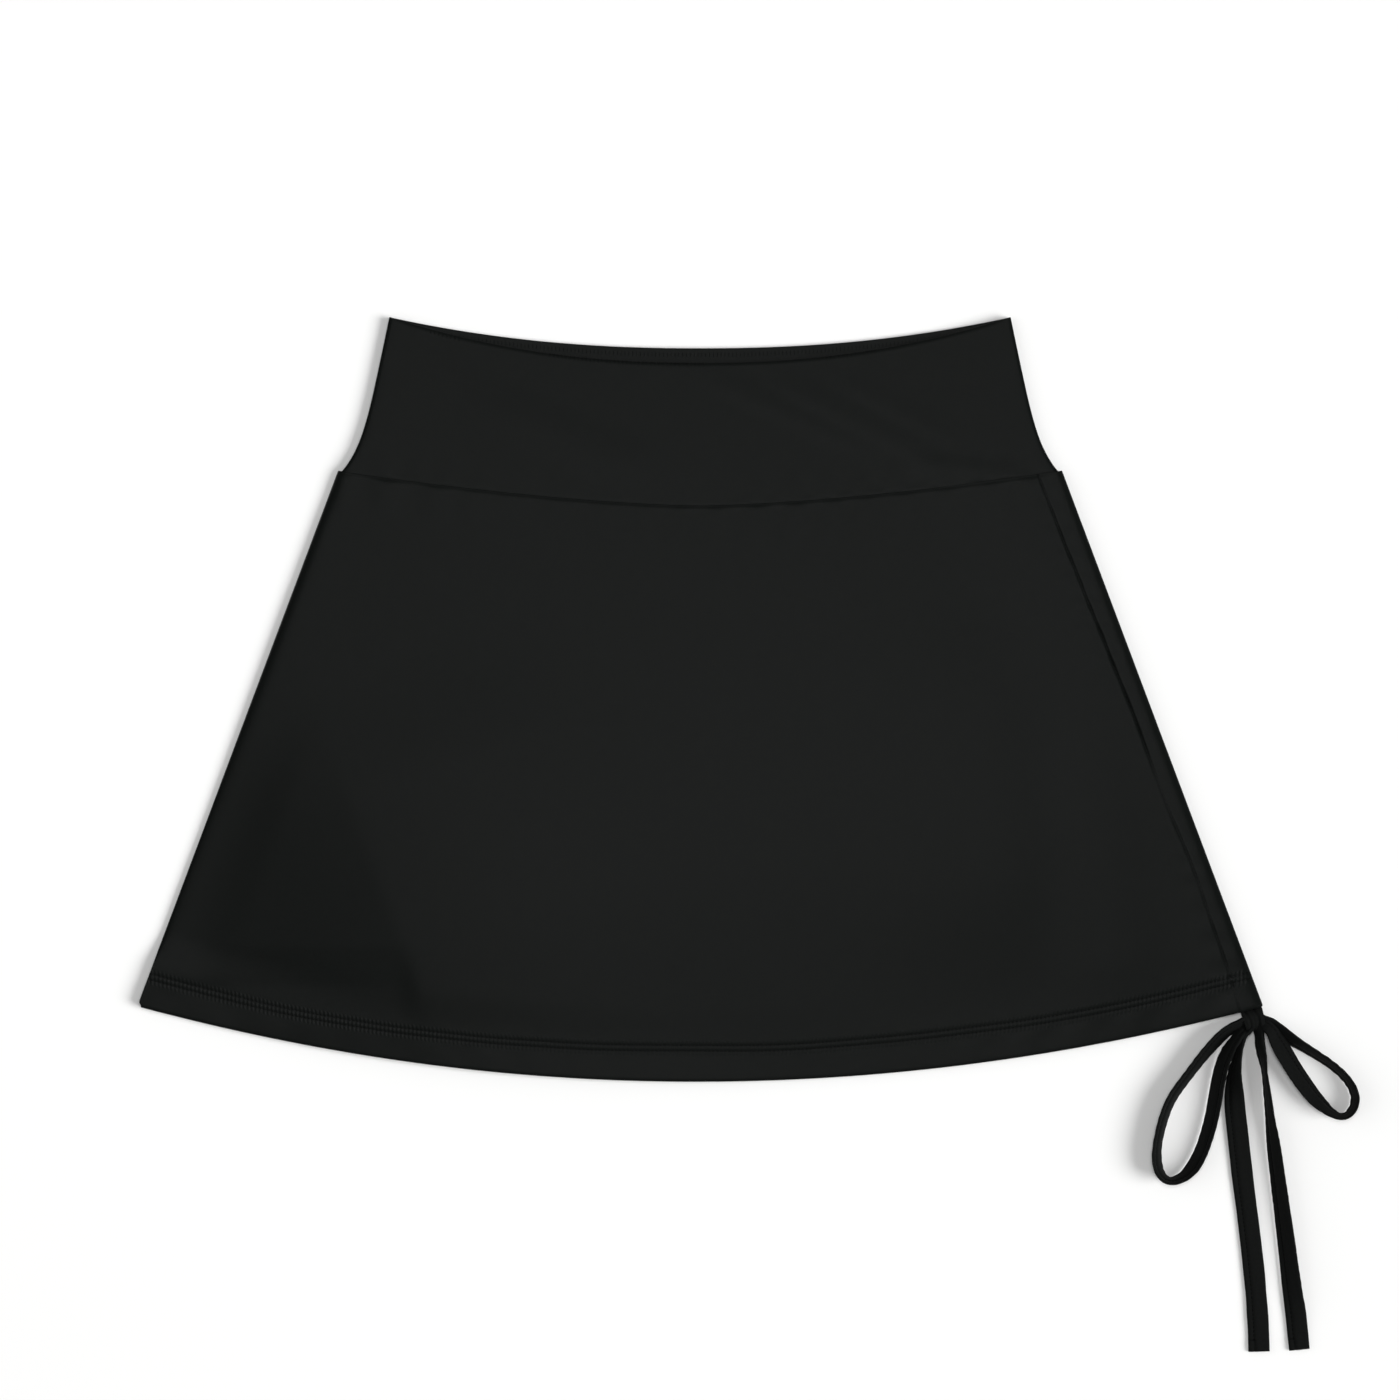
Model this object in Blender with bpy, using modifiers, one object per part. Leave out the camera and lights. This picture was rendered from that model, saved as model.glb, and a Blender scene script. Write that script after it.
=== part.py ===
"""A tennis skort laid flat on its back, in metres, +Z up and the waist towards +Y.

The origin is on the surface that the garment lies on, under the middle of the skirt and waistband. The panels
lie on each other as they are sewn: back panels, built-in shorts, front panels, with a drawcord in a channel
down the side seam at +X and its ends tied in a bow at the hem.
"""

import math

import bmesh
import bpy
from mathutils import Matrix, Vector

# ---- Driving sizes ---------------------------------------------------------------------------------------
CLOTH = 0.0010  # one layer of the knit
BAND_CLOTH = 0.0020  # the waistband is the knit doubled
GAP = 0.0003  # between pieces, at seams and between layers
LAYER = CLOTH + GAP

# Outline of the flat garment: half widths, and heights up and down the garment from the origin.
WAIST_HALF = 0.1612  # at the top corners of the waistband
BAND_FLARE = 0.0250  # how much further out the waistband's lower corners are
FLARE_LATE = 0.30  # the share of that flare which comes in a curve just above the skirt
SKIRT_TOP_HALF = 0.1882
SKIRT_HEM_HALF = 0.2925
CORNER_TOP_Y = 0.1986
SEAM_SIDE_Y = 0.1180  # the waist seam at the side seams
HEM_SIDE_Y = -0.1596
BACK_DIP = 0.0161  # how far the back's top edge dips at the middle
FRONT_DIP = 0.0241
SEAM_DIP = 0.0179
HEM_DROP = 0.0390
TOP_EDGE_POWER = 2.2
SEAM_POWER = 1.55

HEM_TURN = 0.0188  # cloth turned up inside the hem
HEM_EASE = 0.0200  # over which the front rises to its turned-up hem
SIDE_ROLL = 0.0110  # over which the front rises from the side seam
CHANNEL = 0.0093  # the drawcord channel's width beside the side seam at +X
GROOVE = 0.0048  # over which the front comes down beside the channel's stitching
VALLEY_START = 0.0060  # how far outside the shorts the front starts to sink
VALLEY_RUN = 0.0500
EASE = 0.0300  # over which the front's folds and sag begin beside a side seam
RUN_WIDTH = 0.0050  # the drawcord in the channel, both strands pressed into one
RUN_THICK = 0.0016
RUN_TOP_Y = 0.1060

# Built-in shorts, narrower and shorter than the skirt.
SHORTS_WAIST_HALF = 0.1720
SHORTS_HIP_HALF = 0.1790
SHORTS_LEG_HALF = 0.1660
SHORTS_HIP_Y = 0.0200
SHORTS_CROTCH_Y = -0.0850
SHORTS_LEG_Y = -0.1380
SHORTS_LEG_SLOPE = 0.0050  # how much lower the leg's inner corner is
SHORTS_LEG_INSIDE = 0.0100  # how far the inside of a leg lies from the middle at its hem
SHORTS_CROTCH_POWER = 0.7

# The tie: the drawcord's free ends, a flat folded strip.
TIE_WIDTH = 0.0110
TIE_THICK = 0.0016
TIE_PINCH = 0.62  # its share of that at the knot
PINCH_RUN = 0.0160
KNOT_CENTRE = (0.2878, -0.1680)
KNOT_SIZE = (0.0116, 0.0112, 0.0070)
KNOT_TURN = math.radians(14)  # it sits square to the hem there

# ---- Derived heights: the underside of each layer above the surface ---------------------------------------
SHORTS_BACK_Z = LAYER
SHORTS_FRONT_Z = 2 * LAYER
FRONT_Z = 3 * LAYER  # over the shorts, and over the turned-up hem
SIDE_Z = LAYER  # at a side seam, where the front lies on the back
VALLEY_Z = SIDE_Z + 0.0005  # outside the shorts
CHANNEL_Z = 2 * LAYER  # at the channel's edges, on its casing
TUNNEL_RISE = RUN_THICK + 2 * GAP
TUNNEL_POWER = 0.35  # under 1 makes the channel's arch fuller than a sine
BAND_FRONT_Z = BAND_CLOTH + GAP
BAND_LOFT = 0.0007  # how much the front band lifts clear of the back away from its sides

# Soft folds of the front, each a low ridge along a straight line: its ends, height, and width on each side.
FOLDS = [
    {"top": (-0.206, 0.010), "foot": (-0.146, -0.150), "height": 0.0030, "left": 0.042, "right": 0.075},
    {"top": (0.222, 0.020), "foot": (0.262, -0.124), "height": 0.0028, "left": 0.050, "right": 0.014},
    {"top": (0.010, -0.040), "foot": (0.050, -0.168), "height": 0.0008, "left": 0.060, "right": 0.060},
]
FOLD_FADE = 0.4  # the share of a fold's length over which it starts and, past its foot, ends
FOLD_PAST = 1.3
FOLD_IN_HEM = 0.4  # how much of a fold is left in the turned-up hem
SAG = 0.0011  # how far the front sinks between the shorts and the hem
SAG_FROM = 0.0200
SAG_TO = 0.0420

# The bow's routes from the knot's middle: right and down, the lift of the strip's lower edge off the surface,
# all in millimetres, and the strip's roll in degrees. A positive roll lifts its edge on the right hand.
LOOP_LEFT = [
    (-6.1, 0.4, 1.6, 48),
    (-11.8, 3.4, 1.0, 50),
    (-16.8, 7.2, 0.5, 53),
    (-24.8, 15.8, 0.2, 57),
    (-33.4, 26.8, 0, 61),
    (-42.0, 38.8, 0, 62),
    (-46.7, 49.7, 0, 62),
    (-49.8, 62.7, 0, 63),
    (-50.2, 72.0, 0, 62),
    (-48.2, 79.0, 0, 67),
    (-43.7, 82.4, 0, 77),
    (-37.2, 80.6, 0, 71),
    (-31.8, 75.4, 0, 60),
    (-27.6, 67.9, 0, 58),
    (-24.5, 59.3, 0, 57),
    (-21.9, 49.7, 0, 57),
    (-20.1, 40.3, 0, 57),
    (-18.5, 31.0, 0.2, 57),
    (-16.2, 21.5, 0.8, 57),
    (-13.0, 14.0, 1.8, 59),
    (-10.2, 9.8, 2.6, 62),
]
LOOP_RIGHT = [
    (8.8, 0.8, 0.4, -28),
    (12.2, 3.6, 0.3, -36),
    (17.2, 7.4, 0.2, -50),
    (22.9, 11.0, 0, -60),
    (31.0, 16.0, 0, -66),
    (39.3, 21.4, 0, -70),
    (46.2, 27.2, 0, -72),
    (50.8, 33.2, 0, -73),
    (52.7, 39.4, 0, -74),
    (51.2, 45.4, 0, -76),
    (46.8, 48.9, 0, -78),
    (40.6, 47.0, 0, -66),
    (33.3, 40.8, 0, -44),
    (28.1, 34.6, 0.3, -37),
    (21.8, 25.7, 1.2, -34),
    (16.4, 16.9, 2.6, -32),
    (12.0, 9.6, 3.9, -30),
    (8.8, 4.0, 4.8, -28),
]
TAIL_LEFT = [
    (-4.2, 6.4, 0.8, -80),
    (-7.2, 13.4, 0.4, -74),
    (-8.8, 20.0, 0.2, -66),
    (-9.8, 27.8, 0, -50),
    (-9.9, 35.6, 0, -30),
    (-9.4, 45.0, 0, -10),
    (-8.0, 57.4, 0, 0),
    (-5.2, 82.4, 0, 0),
    (-2.0, 107.4, 0, 0),
    (0.8, 132.4, 0, 0),
    (2.6, 155.3, 0, 0),
    (3.2, 171.6, 0, 0),
]
TAIL_RIGHT = [
    (2.2, 5.6, 1.2, -52),
    (3.4, 13.0, 0.8, -62),
    (4.6, 19.4, 0.3, -72),
    (5.5, 25.7, 0, -80),
    (7.1, 38.2, 0, -75),
    (8.6, 50.7, 0, -69),
    (10.3, 63.1, 0, -57),
    (13.6, 88.1, 0, -45),
    (16.9, 113.1, 0, -38),
    (20.1, 138.1, 0, -28),
    (22.0, 150.6, 0, -14),
    (23.4, 163.1, 0, -4),
    (24.2, 170.6, 0, 0),
]
ROUTE_STEP = 0.0075  # between the strip's sections


# ---- Outline ----------------------------------------------------------------------------------------------
def smooth(t):
    """0 before 0, 1 after 1, and an S curve between."""
    t = min(max(t, 0.0), 1.0)
    return t * t * (3 - 2 * t)


def mix(a, b, t):
    return a + (b - a) * t


def dipped(side_y, dip, across, power):
    """An edge that is at side_y at both sides and dips towards the middle; across runs from -1 to 1."""
    return side_y - dip * (1 - abs(across) ** power)


def seam_y(x):
    """The waist seam."""
    return dipped(SEAM_SIDE_Y, SEAM_DIP, min(abs(x) / SKIRT_TOP_HALF, 1), SEAM_POWER)


def hem_y(across):
    return HEM_SIDE_Y - HEM_DROP * (1 - across * across)


def band_half(down):
    """The waistband's half width, down from 0 at its top to 1 at the seam."""
    return WAIST_HALF + BAND_FLARE * mix(down, down**6, FLARE_LATE)


def skirt_half(y):
    """The skirt's half width at the side seam's height y."""
    return mix(SKIRT_TOP_HALF, SKIRT_HEM_HALF, (SEAM_SIDE_Y - y) / (SEAM_SIDE_Y - HEM_SIDE_Y))


# ---- Heights ----------------------------------------------------------------------------------------------
def tunnel(inside):
    """The channel's arch over the drawcord, for a distance inside the side seam at +X."""
    share = min(max(inside / CHANNEL, 0.0), 1.0)
    return TUNNEL_RISE * math.sin(math.pi * share) ** TUNNEL_POWER


def fold_rise(x, y):
    """The front's soft folds: low ridges that fade out at their ends."""
    rise = 0.0
    for fold in FOLDS:
        top = Vector(fold["top"])
        along = Vector(fold["foot"]) - top
        here = Vector((x, y)) - top
        share = here.dot(along) / along.length_squared
        off = along.cross(here) / along.length
        across = off / fold["right"] if off > 0 else -off / fold["left"]
        start, end = smooth(share / FOLD_FADE), smooth((FOLD_PAST - share) / FOLD_FADE)
        rise += fold["height"] * smooth(1 - across) * start * end
    return rise


def shorts_half(y):
    """How far the shorts reach from the middle at height y."""
    if y > SHORTS_HIP_Y:
        return mix(SHORTS_HIP_HALF, SHORTS_WAIST_HALF, smooth((y - SHORTS_HIP_Y) / (SEAM_SIDE_Y - SHORTS_HIP_Y)))
    return mix(SHORTS_HIP_HALF, SHORTS_LEG_HALF, smooth((SHORTS_HIP_Y - y) / (SHORTS_HIP_Y - SHORTS_LEG_Y)))


def front_support(x, y):
    """What the front lies on away from its edges: the shorts, or the back outside them."""
    outside = abs(x) - shorts_half(y) - VALLEY_START
    return mix(FRONT_Z, VALLEY_Z, smooth(outside / VALLEY_RUN))


def front_underside(x, y, from_left, from_right, above_hem):
    """The height of the front skirt's underside."""
    level = mix(SIDE_Z, front_support(x, y), smooth(from_left / SIDE_ROLL))
    beside_channel = smooth((from_right - CHANNEL - LAYER) / GROOVE)
    level = mix(CHANNEL_Z + tunnel(from_right), level, beside_channel)
    clear_of_sides = smooth((from_left - SIDE_ROLL) / EASE) * beside_channel
    sag_share = min(max((above_hem - SAG_FROM) / (SAG_TO - SAG_FROM), 0), 1)
    sag = SAG * math.sin(math.pi * sag_share) * smooth((level - VALLEY_Z) / SAG)
    loft = fold_rise(x, y) * clear_of_sides
    hem_level = FRONT_Z + tunnel(from_right) + FOLD_IN_HEM * loft
    hem_share = smooth((HEM_TURN + HEM_EASE - above_hem) / HEM_EASE)
    return mix(level + loft - sag * clear_of_sides, hem_level, hem_share)


# ---- Making solids ----------------------------------------------------------------------------------------
def fabric(name, colour, roughness):
    """A cloth finish."""
    finish = bpy.data.materials.new(name)
    finish.use_nodes = True
    shader = finish.node_tree.nodes["Principled BSDF"]
    shader.inputs["Base Color"].default_value = (*colour, 1.0)
    shader.inputs["Roughness"].default_value = roughness
    shader.inputs["Metallic"].default_value = 0.0
    finish.diffuse_color = (*colour, 1.0)
    return finish


def add_object(name, data, home, finish):
    obj = bpy.data.objects.new(name, data)
    home.objects.link(obj)
    data.materials.append(finish)
    return obj


def cloth_wall(name, columns, rows, place, thickness, home, finish, edge_round=0.0):
    """A wall of cloth: a flat grid whose point in column i and row j goes to place(i, j), thickened about its
    middle."""
    grid = bmesh.new()
    bmesh.ops.create_grid(grid, x_segments=columns, y_segments=rows, size=1.0)
    for vert in grid.verts:
        i = round((vert.co.x + 1) / 2 * columns)
        j = round((1 - vert.co.y) / 2 * rows)
        vert.co = place(i, j)
    mesh = bpy.data.meshes.new(name)
    grid.to_mesh(mesh)
    grid.free()
    obj = add_object(name, mesh, home, finish)
    wall = obj.modifiers.new("wall", "SOLIDIFY")
    wall.thickness = thickness
    wall.offset = 0.0
    wall.use_even_offset = True
    if edge_round:
        rounding = obj.modifiers.new("rounded_edges", "BEVEL")
        rounding.width = edge_round
        rounding.segments = 2
        rounding.limit_method = "ANGLE"
        rounding.angle_limit = math.radians(50)
    return obj


def spread(start, end, count):
    """count + 1 values from start to end, evenly apart."""
    return [mix(start, end, k / count) for k in range(count + 1)]


# ---- Waistband --------------------------------------------------------------------------------------------
BAND_SIDE_STEPS = (0.0, 0.0020, 0.0060, 0.0120)  # columns near a side, as distances in from it
BAND_MIDDLE = 16  # columns between those
BAND_ROUND = 0.0007


def band_columns(half):
    """Where the waistband's columns lie, from -half to half."""
    sides = [half - step for step in BAND_SIDE_STEPS]
    return [-x for x in sides[:-1]] + spread(-sides[-1], sides[-1], BAND_MIDDLE) + sides[-2::-1]


def band_panel(name, dip, rows, lift, home, finish):
    """One face of the waistband. lift(inside) is the height of its underside at a distance in from a side."""

    def place(i, j):
        half = band_half(j / rows)
        x = band_columns(half)[i]
        top = dipped(CORNER_TOP_Y, dip, x / half, TOP_EDGE_POWER)
        bottom = seam_y(x) + GAP / 2
        return Vector((x, mix(top, bottom, j / rows), lift(half - abs(x)) + BAND_CLOTH / 2))

    columns = len(band_columns(WAIST_HALF)) - 1
    return cloth_wall(name, columns, rows, place, BAND_CLOTH, home, finish, edge_round=BAND_ROUND)


def back_band_lift(inside):
    return 0.0


def front_band_lift(inside):
    return BAND_FRONT_Z + BAND_LOFT * smooth(inside / SIDE_ROLL)


# ---- Skirt ------------------------------------------------------------------------------------------------
# Columns beside the seams, as distances square to them: at -X, and at +X where the channel's shares come first.
LEFT_STEPS = (0.0, 0.0015, 0.0040, 0.0075, 0.0120, 0.0180)
CHANNEL_SHARES = (0.0, 0.10, 0.28, 0.50, 0.72, 0.90, 1.0)
GROOVE_STEPS = [CHANNEL + LAYER + share * GROOVE for share in (0, 0.5, 1)]
RIGHT_STEPS = [share * CHANNEL for share in CHANNEL_SHARES] + GROOVE_STEPS
SIDE_LEAN = math.cos(math.atan((SKIRT_HEM_HALF - SKIRT_TOP_HALF) / (SEAM_SIDE_Y - HEM_SIDE_Y)))
TURN_STEPS = 4  # sections round the fold of the hem
UP_ROWS = 2


def skirt_columns(half, middle_columns):
    """Where a skirt panel's columns lie, from -half to half."""
    left = [step / SIDE_LEAN - half for step in LEFT_STEPS]
    right = [half - step / SIDE_LEAN for step in reversed(RIGHT_STEPS)]
    return left[:-1] + spread(left[-1], right[0], middle_columns) + right[1:]


def skirt_panel(name, middle_columns, row_shares, underside, inward, home, finish):
    """A skirt panel with its hem turned to the inside. underside(x, y, from_left, from_right, above_hem) is the
    height of the outer layer's underside; inward is 1 where the hem is turned upwards and -1 where down."""
    columns = len(skirt_columns(SKIRT_TOP_HALF, middle_columns)) - 1
    down_rows = len(row_shares) - 1
    rows = down_rows + TURN_STEPS + UP_ROWS
    turn_radius = LAYER / 2
    length = SEAM_SIDE_Y - HEM_SIDE_Y

    def outer_layer(i, down):
        """The middle of the outer layer in column i, down from 0 at the waist seam to 1 at the hem."""
        half = skirt_half(mix(SEAM_SIDE_Y, HEM_SIDE_Y, down))
        x = skirt_columns(half, middle_columns)[i]
        hem = hem_y(x / half)
        y = mix(seam_y(x / half * SKIRT_TOP_HALF) - GAP / 2, hem, down)
        height = underside(x, y, (half + x) * SIDE_LEAN, (half - x) * SIDE_LEAN, y - hem)
        return Vector((x, y, height + CLOTH / 2))

    def place(i, j):
        last = 1 - turn_radius / length
        if j <= down_rows:
            return outer_layer(i, min(row_shares[j], last))
        if j <= down_rows + TURN_STEPS:
            bend = (j - down_rows) / TURN_STEPS * math.pi
            round_to = Vector((0, -math.sin(bend), inward * (1 - math.cos(bend))))
            return outer_layer(i, last) + turn_radius * round_to
        back_up = (j - down_rows - TURN_STEPS) / UP_ROWS * HEM_TURN
        return outer_layer(i, last - back_up / length) + Vector((0, 0, inward * 2 * turn_radius))

    return cloth_wall(name, columns, rows, place, CLOTH, home, finish)


def back_underside(x, y, from_left, from_right, above_hem):
    return 0.0


# ---- Built-in shorts --------------------------------------------------------------------------------------
def shorts_panel(name, side, level, home, finish):
    """A quarter of the shorts. side is -1 or 1, level the height of its underside."""
    columns, rows = 7, 12
    crotch = (seam_y(0) - SHORTS_CROTCH_Y) / (seam_y(0) - SHORTS_LEG_Y)

    def place(i, j):
        down, across = j / rows, i / columns
        inner = GAP / 2 + SHORTS_LEG_INSIDE * (max(down - crotch, 0) / (1 - crotch)) ** SHORTS_CROTCH_POWER
        x = mix(inner, shorts_half(mix(SEAM_SIDE_Y, SHORTS_LEG_Y, down)), across)
        bottom = SHORTS_LEG_Y - SHORTS_LEG_SLOPE * (1 - across)
        y = mix(seam_y(x) - GAP / 2, bottom, down)
        return Vector((side * x, y, level + CLOTH / 2))

    return cloth_wall(name, columns, rows, place, CLOTH, home, finish)


# ---- Drawcord channel -------------------------------------------------------------------------------------
def beside_seam(y, inside):
    """x at height y, a distance square to the side seam at +X."""
    return skirt_half(y) - inside / SIDE_LEAN


def casing_panel(name, home, finish):
    """The strip inside the front that makes the channel, down to the top of the turned-up hem."""
    columns, rows = 3, 12
    outer, inner = 0.0006, CHANNEL + 0.0006
    top, foot = SEAM_SIDE_Y - 0.0035, HEM_SIDE_Y + HEM_TURN + 0.0025

    def place(i, j):
        y = mix(top, foot, j / rows)
        return Vector((beside_seam(y, mix(inner, outer, i / columns)), y, SHORTS_BACK_Z + CLOTH / 2))

    return cloth_wall(name, columns, rows, place, CLOTH, home, finish)


def drawcord_run(name, profile, home, finish):
    """The drawcord inside the channel, from near the waist seam to just outside the mouth."""
    foot = KNOT_CENTRE[1] + KNOT_SIZE[1] / 2 + 4 * GAP
    heights = spread(RUN_TOP_Y, foot, 12)
    points = [Vector((beside_seam(y, CHANNEL / 2), y, CHANNEL_Z + RUN_THICK / 2)) for y in heights]
    return flat_strip(name, points, [0.0] * len(points), [1.0] * len(points), profile, home, finish)


# ---- Flat cords -------------------------------------------------------------------------------------------
def strip_profile(name, width, thickness, home):
    """A flat cord's section: a closed outline with rounded edges, in the XY plane."""
    upper = [(-0.50, 0.18), (-0.44, 0.5), (0.0, 0.5), (0.44, 0.5), (0.50, 0.18)]
    outline = upper + [(-x, -y) for x, y in upper]
    data = bpy.data.curves.new(name, "CURVE")
    data.dimensions = "2D"
    spline = data.splines.new("POLY")
    spline.points.add(len(outline) - 1)
    for point, (across, through) in zip(spline.points, outline, strict=True):
        point.co = (across * width, through * thickness, 0, 1)
    spline.use_cyclic_u = True
    obj = bpy.data.objects.new(name, data)
    home.objects.link(obj)
    obj.hide_render = True
    obj.display_type = "WIRE"
    return obj


def flat_strip(name, points, rolls, scales, profile, home, finish):
    """A flat cord along points, with a roll about its own line and a share of its full section at each."""
    data = bpy.data.curves.new(name, "CURVE")
    data.dimensions = "3D"
    data.twist_mode = "Z_UP"
    data.bevel_mode = "OBJECT"
    data.bevel_object = profile
    data.use_fill_caps = True
    spline = data.splines.new("POLY")
    spline.points.add(len(points) - 1)
    for point, where, roll, scale in zip(spline.points, points, rolls, scales, strict=True):
        point.co = (*where, 1)
        point.tilt = roll
        point.radius = scale
    return add_object(name, data, home, finish)


# ---- Bow --------------------------------------------------------------------------------------------------
def route_keys(rows):
    """A bow table's rows as (x, y, height of the strip's middle, roll)."""
    keys = []
    for right, down, lift, roll in rows:
        turn = math.radians(roll)
        tall = TIE_WIDTH * abs(math.sin(turn)) + TIE_THICK * abs(math.cos(turn))
        height = GAP + lift * 0.001 + tall / 2
        keys.append(Vector((KNOT_CENTRE[0] + right * 0.001, KNOT_CENTRE[1] - down * 0.001, height, turn)))
    return keys


def smooth_route(rows):
    """A bow table made a smooth route by Catmull-Rom curves: points about ROUTE_STEP apart, and their rolls."""
    keys = route_keys(rows)
    keys = [2 * keys[0] - keys[1], *keys, 2 * keys[-1] - keys[-2]]
    route = [keys[1]]
    for before, start, end, after in zip(keys, keys[1:], keys[2:], keys[3:], strict=False):
        steps = max(1, round((end - start).to_3d().length / ROUTE_STEP))
        for t in spread(0, 1, steps)[1:]:
            line = start + (end - start) * t
            bend_in = (start - before) - (end - start)
            bend_out = (end - start) - (after - end)
            route.append(line + (bend_in * t * (1 - t) ** 2 + bend_out * t * t * (1 - t)) / 2)
    return [point.to_3d() for point in route], [point[3] for point in route]


def pinched(points):
    """The strip's share of its full section, which is less near the knot."""
    knot = Vector((*KNOT_CENTRE, KNOT_SIZE[2] / 2))
    reach = KNOT_SIZE[0] / 2
    return [mix(TIE_PINCH, 1, smooth(((point - knot).length - reach) / PINCH_RUN)) for point in points]


def bow_strip(name, rows, profile, home, finish):
    points, rolls = smooth_route(rows)
    return flat_strip(name, points, rolls, pinched(points), profile, home, finish)


def knot_body(name, home, finish):
    """The knot: a soft pinched block, from a coarse cage."""
    cage = bmesh.new()
    bmesh.ops.create_cube(cage, size=1.0)
    bmesh.ops.subdivide_edges(cage, edges=cage.edges[:], cuts=2, use_grid_fill=True)
    for vert in cage.verts:
        waist = 1 - 0.14 * (1 - abs(vert.co.y) * 2)
        vert.co.x *= KNOT_SIZE[0] * waist
        vert.co.y *= KNOT_SIZE[1]
        vert.co.z *= KNOT_SIZE[2]
    bmesh.ops.rotate(cage, verts=cage.verts[:], matrix=Matrix.Rotation(KNOT_TURN, 3, "Z"))
    mesh = bpy.data.meshes.new(name)
    cage.to_mesh(mesh)
    cage.free()
    obj = add_object(name, mesh, home, finish)
    obj.location = (*KNOT_CENTRE, KNOT_SIZE[2] / 2 + GAP)
    soft = obj.modifiers.new("soft", "SUBSURF")
    soft.levels = 1
    soft.render_levels = 1
    return obj


# ---- The garment ------------------------------------------------------------------------------------------
def new_collection(name):
    home = bpy.data.collections.new(name)
    bpy.context.scene.collection.children.link(home)
    return home


def build():
    for obj in list(bpy.data.objects):
        bpy.data.objects.remove(obj)
    skort = new_collection("tennis_skort")
    guides = new_collection("guides")
    knit = fabric("skirt_knit", (0.0135, 0.0145, 0.0140), 0.78)
    band_knit = fabric("waistband_knit", (0.0130, 0.0140, 0.0135), 0.74)
    shorts_knit = fabric("shorts_knit", (0.0120, 0.0125, 0.0122), 0.70)
    tie_knit = fabric("tie_knit", (0.0080, 0.0085, 0.0082), 0.60)

    band_panel("waistband_back", BACK_DIP, 4, back_band_lift, skort, band_knit)
    band_panel("waistband_front", FRONT_DIP, 6, front_band_lift, skort, band_knit)
    skirt_panel("skirt_back", 18, spread(0, 1, 5), back_underside, 1, skort, knit)
    skirt_panel("skirt_front", 24, spread(0, 0.8, 10) + [0.86, 0.91, 0.96, 1], front_underside, -1, skort, knit)
    for side, word in ((-1, "left"), (1, "right")):
        shorts_panel(f"shorts_back_{word}", side, SHORTS_BACK_Z, skort, shorts_knit)
        shorts_panel(f"shorts_front_{word}", side, SHORTS_FRONT_Z, skort, shorts_knit)

    casing_panel("channel_casing", skort, knit)
    drawcord_run("drawcord_run", strip_profile("run_section", RUN_WIDTH, RUN_THICK, guides), skort, tie_knit)
    knot_body("tie_knot", skort, tie_knit)
    profile = strip_profile("tie_section", TIE_WIDTH, TIE_THICK, guides)
    bow_strip("tie_loop_left", LOOP_LEFT, profile, skort, tie_knit)
    bow_strip("tie_loop_right", LOOP_RIGHT, profile, skort, tie_knit)
    bow_strip("tie_tail_left", TAIL_LEFT, profile, skort, tie_knit)
    bow_strip("tie_tail_right", TAIL_RIGHT, profile, skort, tie_knit)


build()
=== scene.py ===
"""A tennis skort laid flat on its back, dressed over its solids: knit panels, stitching and a drawcord's bow.

Everything is in metres in the frame of the solids: +Z off the surface that it lies on, +Y towards the waist.
"""

import math

import bmesh
import bpy
from mathutils import Matrix, Vector, noise
from mathutils.bvhtree import BVHTree


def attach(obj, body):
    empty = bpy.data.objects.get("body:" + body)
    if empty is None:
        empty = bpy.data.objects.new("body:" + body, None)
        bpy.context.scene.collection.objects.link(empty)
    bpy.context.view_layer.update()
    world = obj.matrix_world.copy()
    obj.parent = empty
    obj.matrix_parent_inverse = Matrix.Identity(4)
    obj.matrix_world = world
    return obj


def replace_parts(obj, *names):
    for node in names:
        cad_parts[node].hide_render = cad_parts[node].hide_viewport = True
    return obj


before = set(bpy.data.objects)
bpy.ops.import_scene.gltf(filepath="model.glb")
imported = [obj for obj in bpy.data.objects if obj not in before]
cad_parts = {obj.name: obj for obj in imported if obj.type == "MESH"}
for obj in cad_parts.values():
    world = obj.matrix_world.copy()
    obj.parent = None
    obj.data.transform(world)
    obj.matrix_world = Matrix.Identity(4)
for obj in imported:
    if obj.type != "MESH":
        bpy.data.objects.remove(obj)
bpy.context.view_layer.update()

UP = Vector((0, 0, 1))

# ---- Sizes shared with the solids: the outline and the layers ----------------------------------------------
CLOTH = 0.0010  # one layer of the knit
BAND_CLOTH = 0.0020  # the waistband is the knit doubled
GAP = 0.0003  # between the layers
LAYER = CLOTH + GAP
WAIST_HALF = 0.1612
BAND_FLARE = 0.0250  # how much wider the waistband's half is at its seam
FLARE_LATE = 0.30  # the share of the flare that comes close to the seam
SKIRT_TOP_HALF = 0.1882
SKIRT_HEM_HALF = 0.2925
CORNER_TOP_Y = 0.1986
SEAM_SIDE_Y = 0.1180
HEM_SIDE_Y = -0.1596
BACK_DIP = 0.0161  # how far each edge dips towards the middle
FRONT_DIP = 0.0241
SEAM_DIP = 0.0179
HEM_DROP = 0.0390
TOP_EDGE_POWER = 2.2
SEAM_POWER = 1.55
HEM_TURN = 0.0188  # how far the hem is turned up inside
CHANNEL = 0.0093  # the drawcord channel's width beside the side seam at +X
SHORTS_WAIST_HALF = 0.1720
SHORTS_HIP_HALF = 0.1790
SHORTS_LEG_HALF = 0.1660
SHORTS_HIP_Y = 0.0200
SHORTS_LEG_Y = -0.1380
FRONT_Z = 3 * LAYER  # the front's underside over the shorts, and over the turned-up hem
SIDE_Z = LAYER
CHANNEL_Z = 2 * LAYER
BAND_FRONT_Z = BAND_CLOTH + GAP
BAND_LOFT = 0.0007
TIE_WIDTH = 0.0110
TIE_THICK = 0.0016
TUNNEL_RISE = TIE_THICK + 2 * GAP
KNOT_CENTRE = (0.2878, -0.1680)
KNOT_TURN = math.radians(14)

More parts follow.
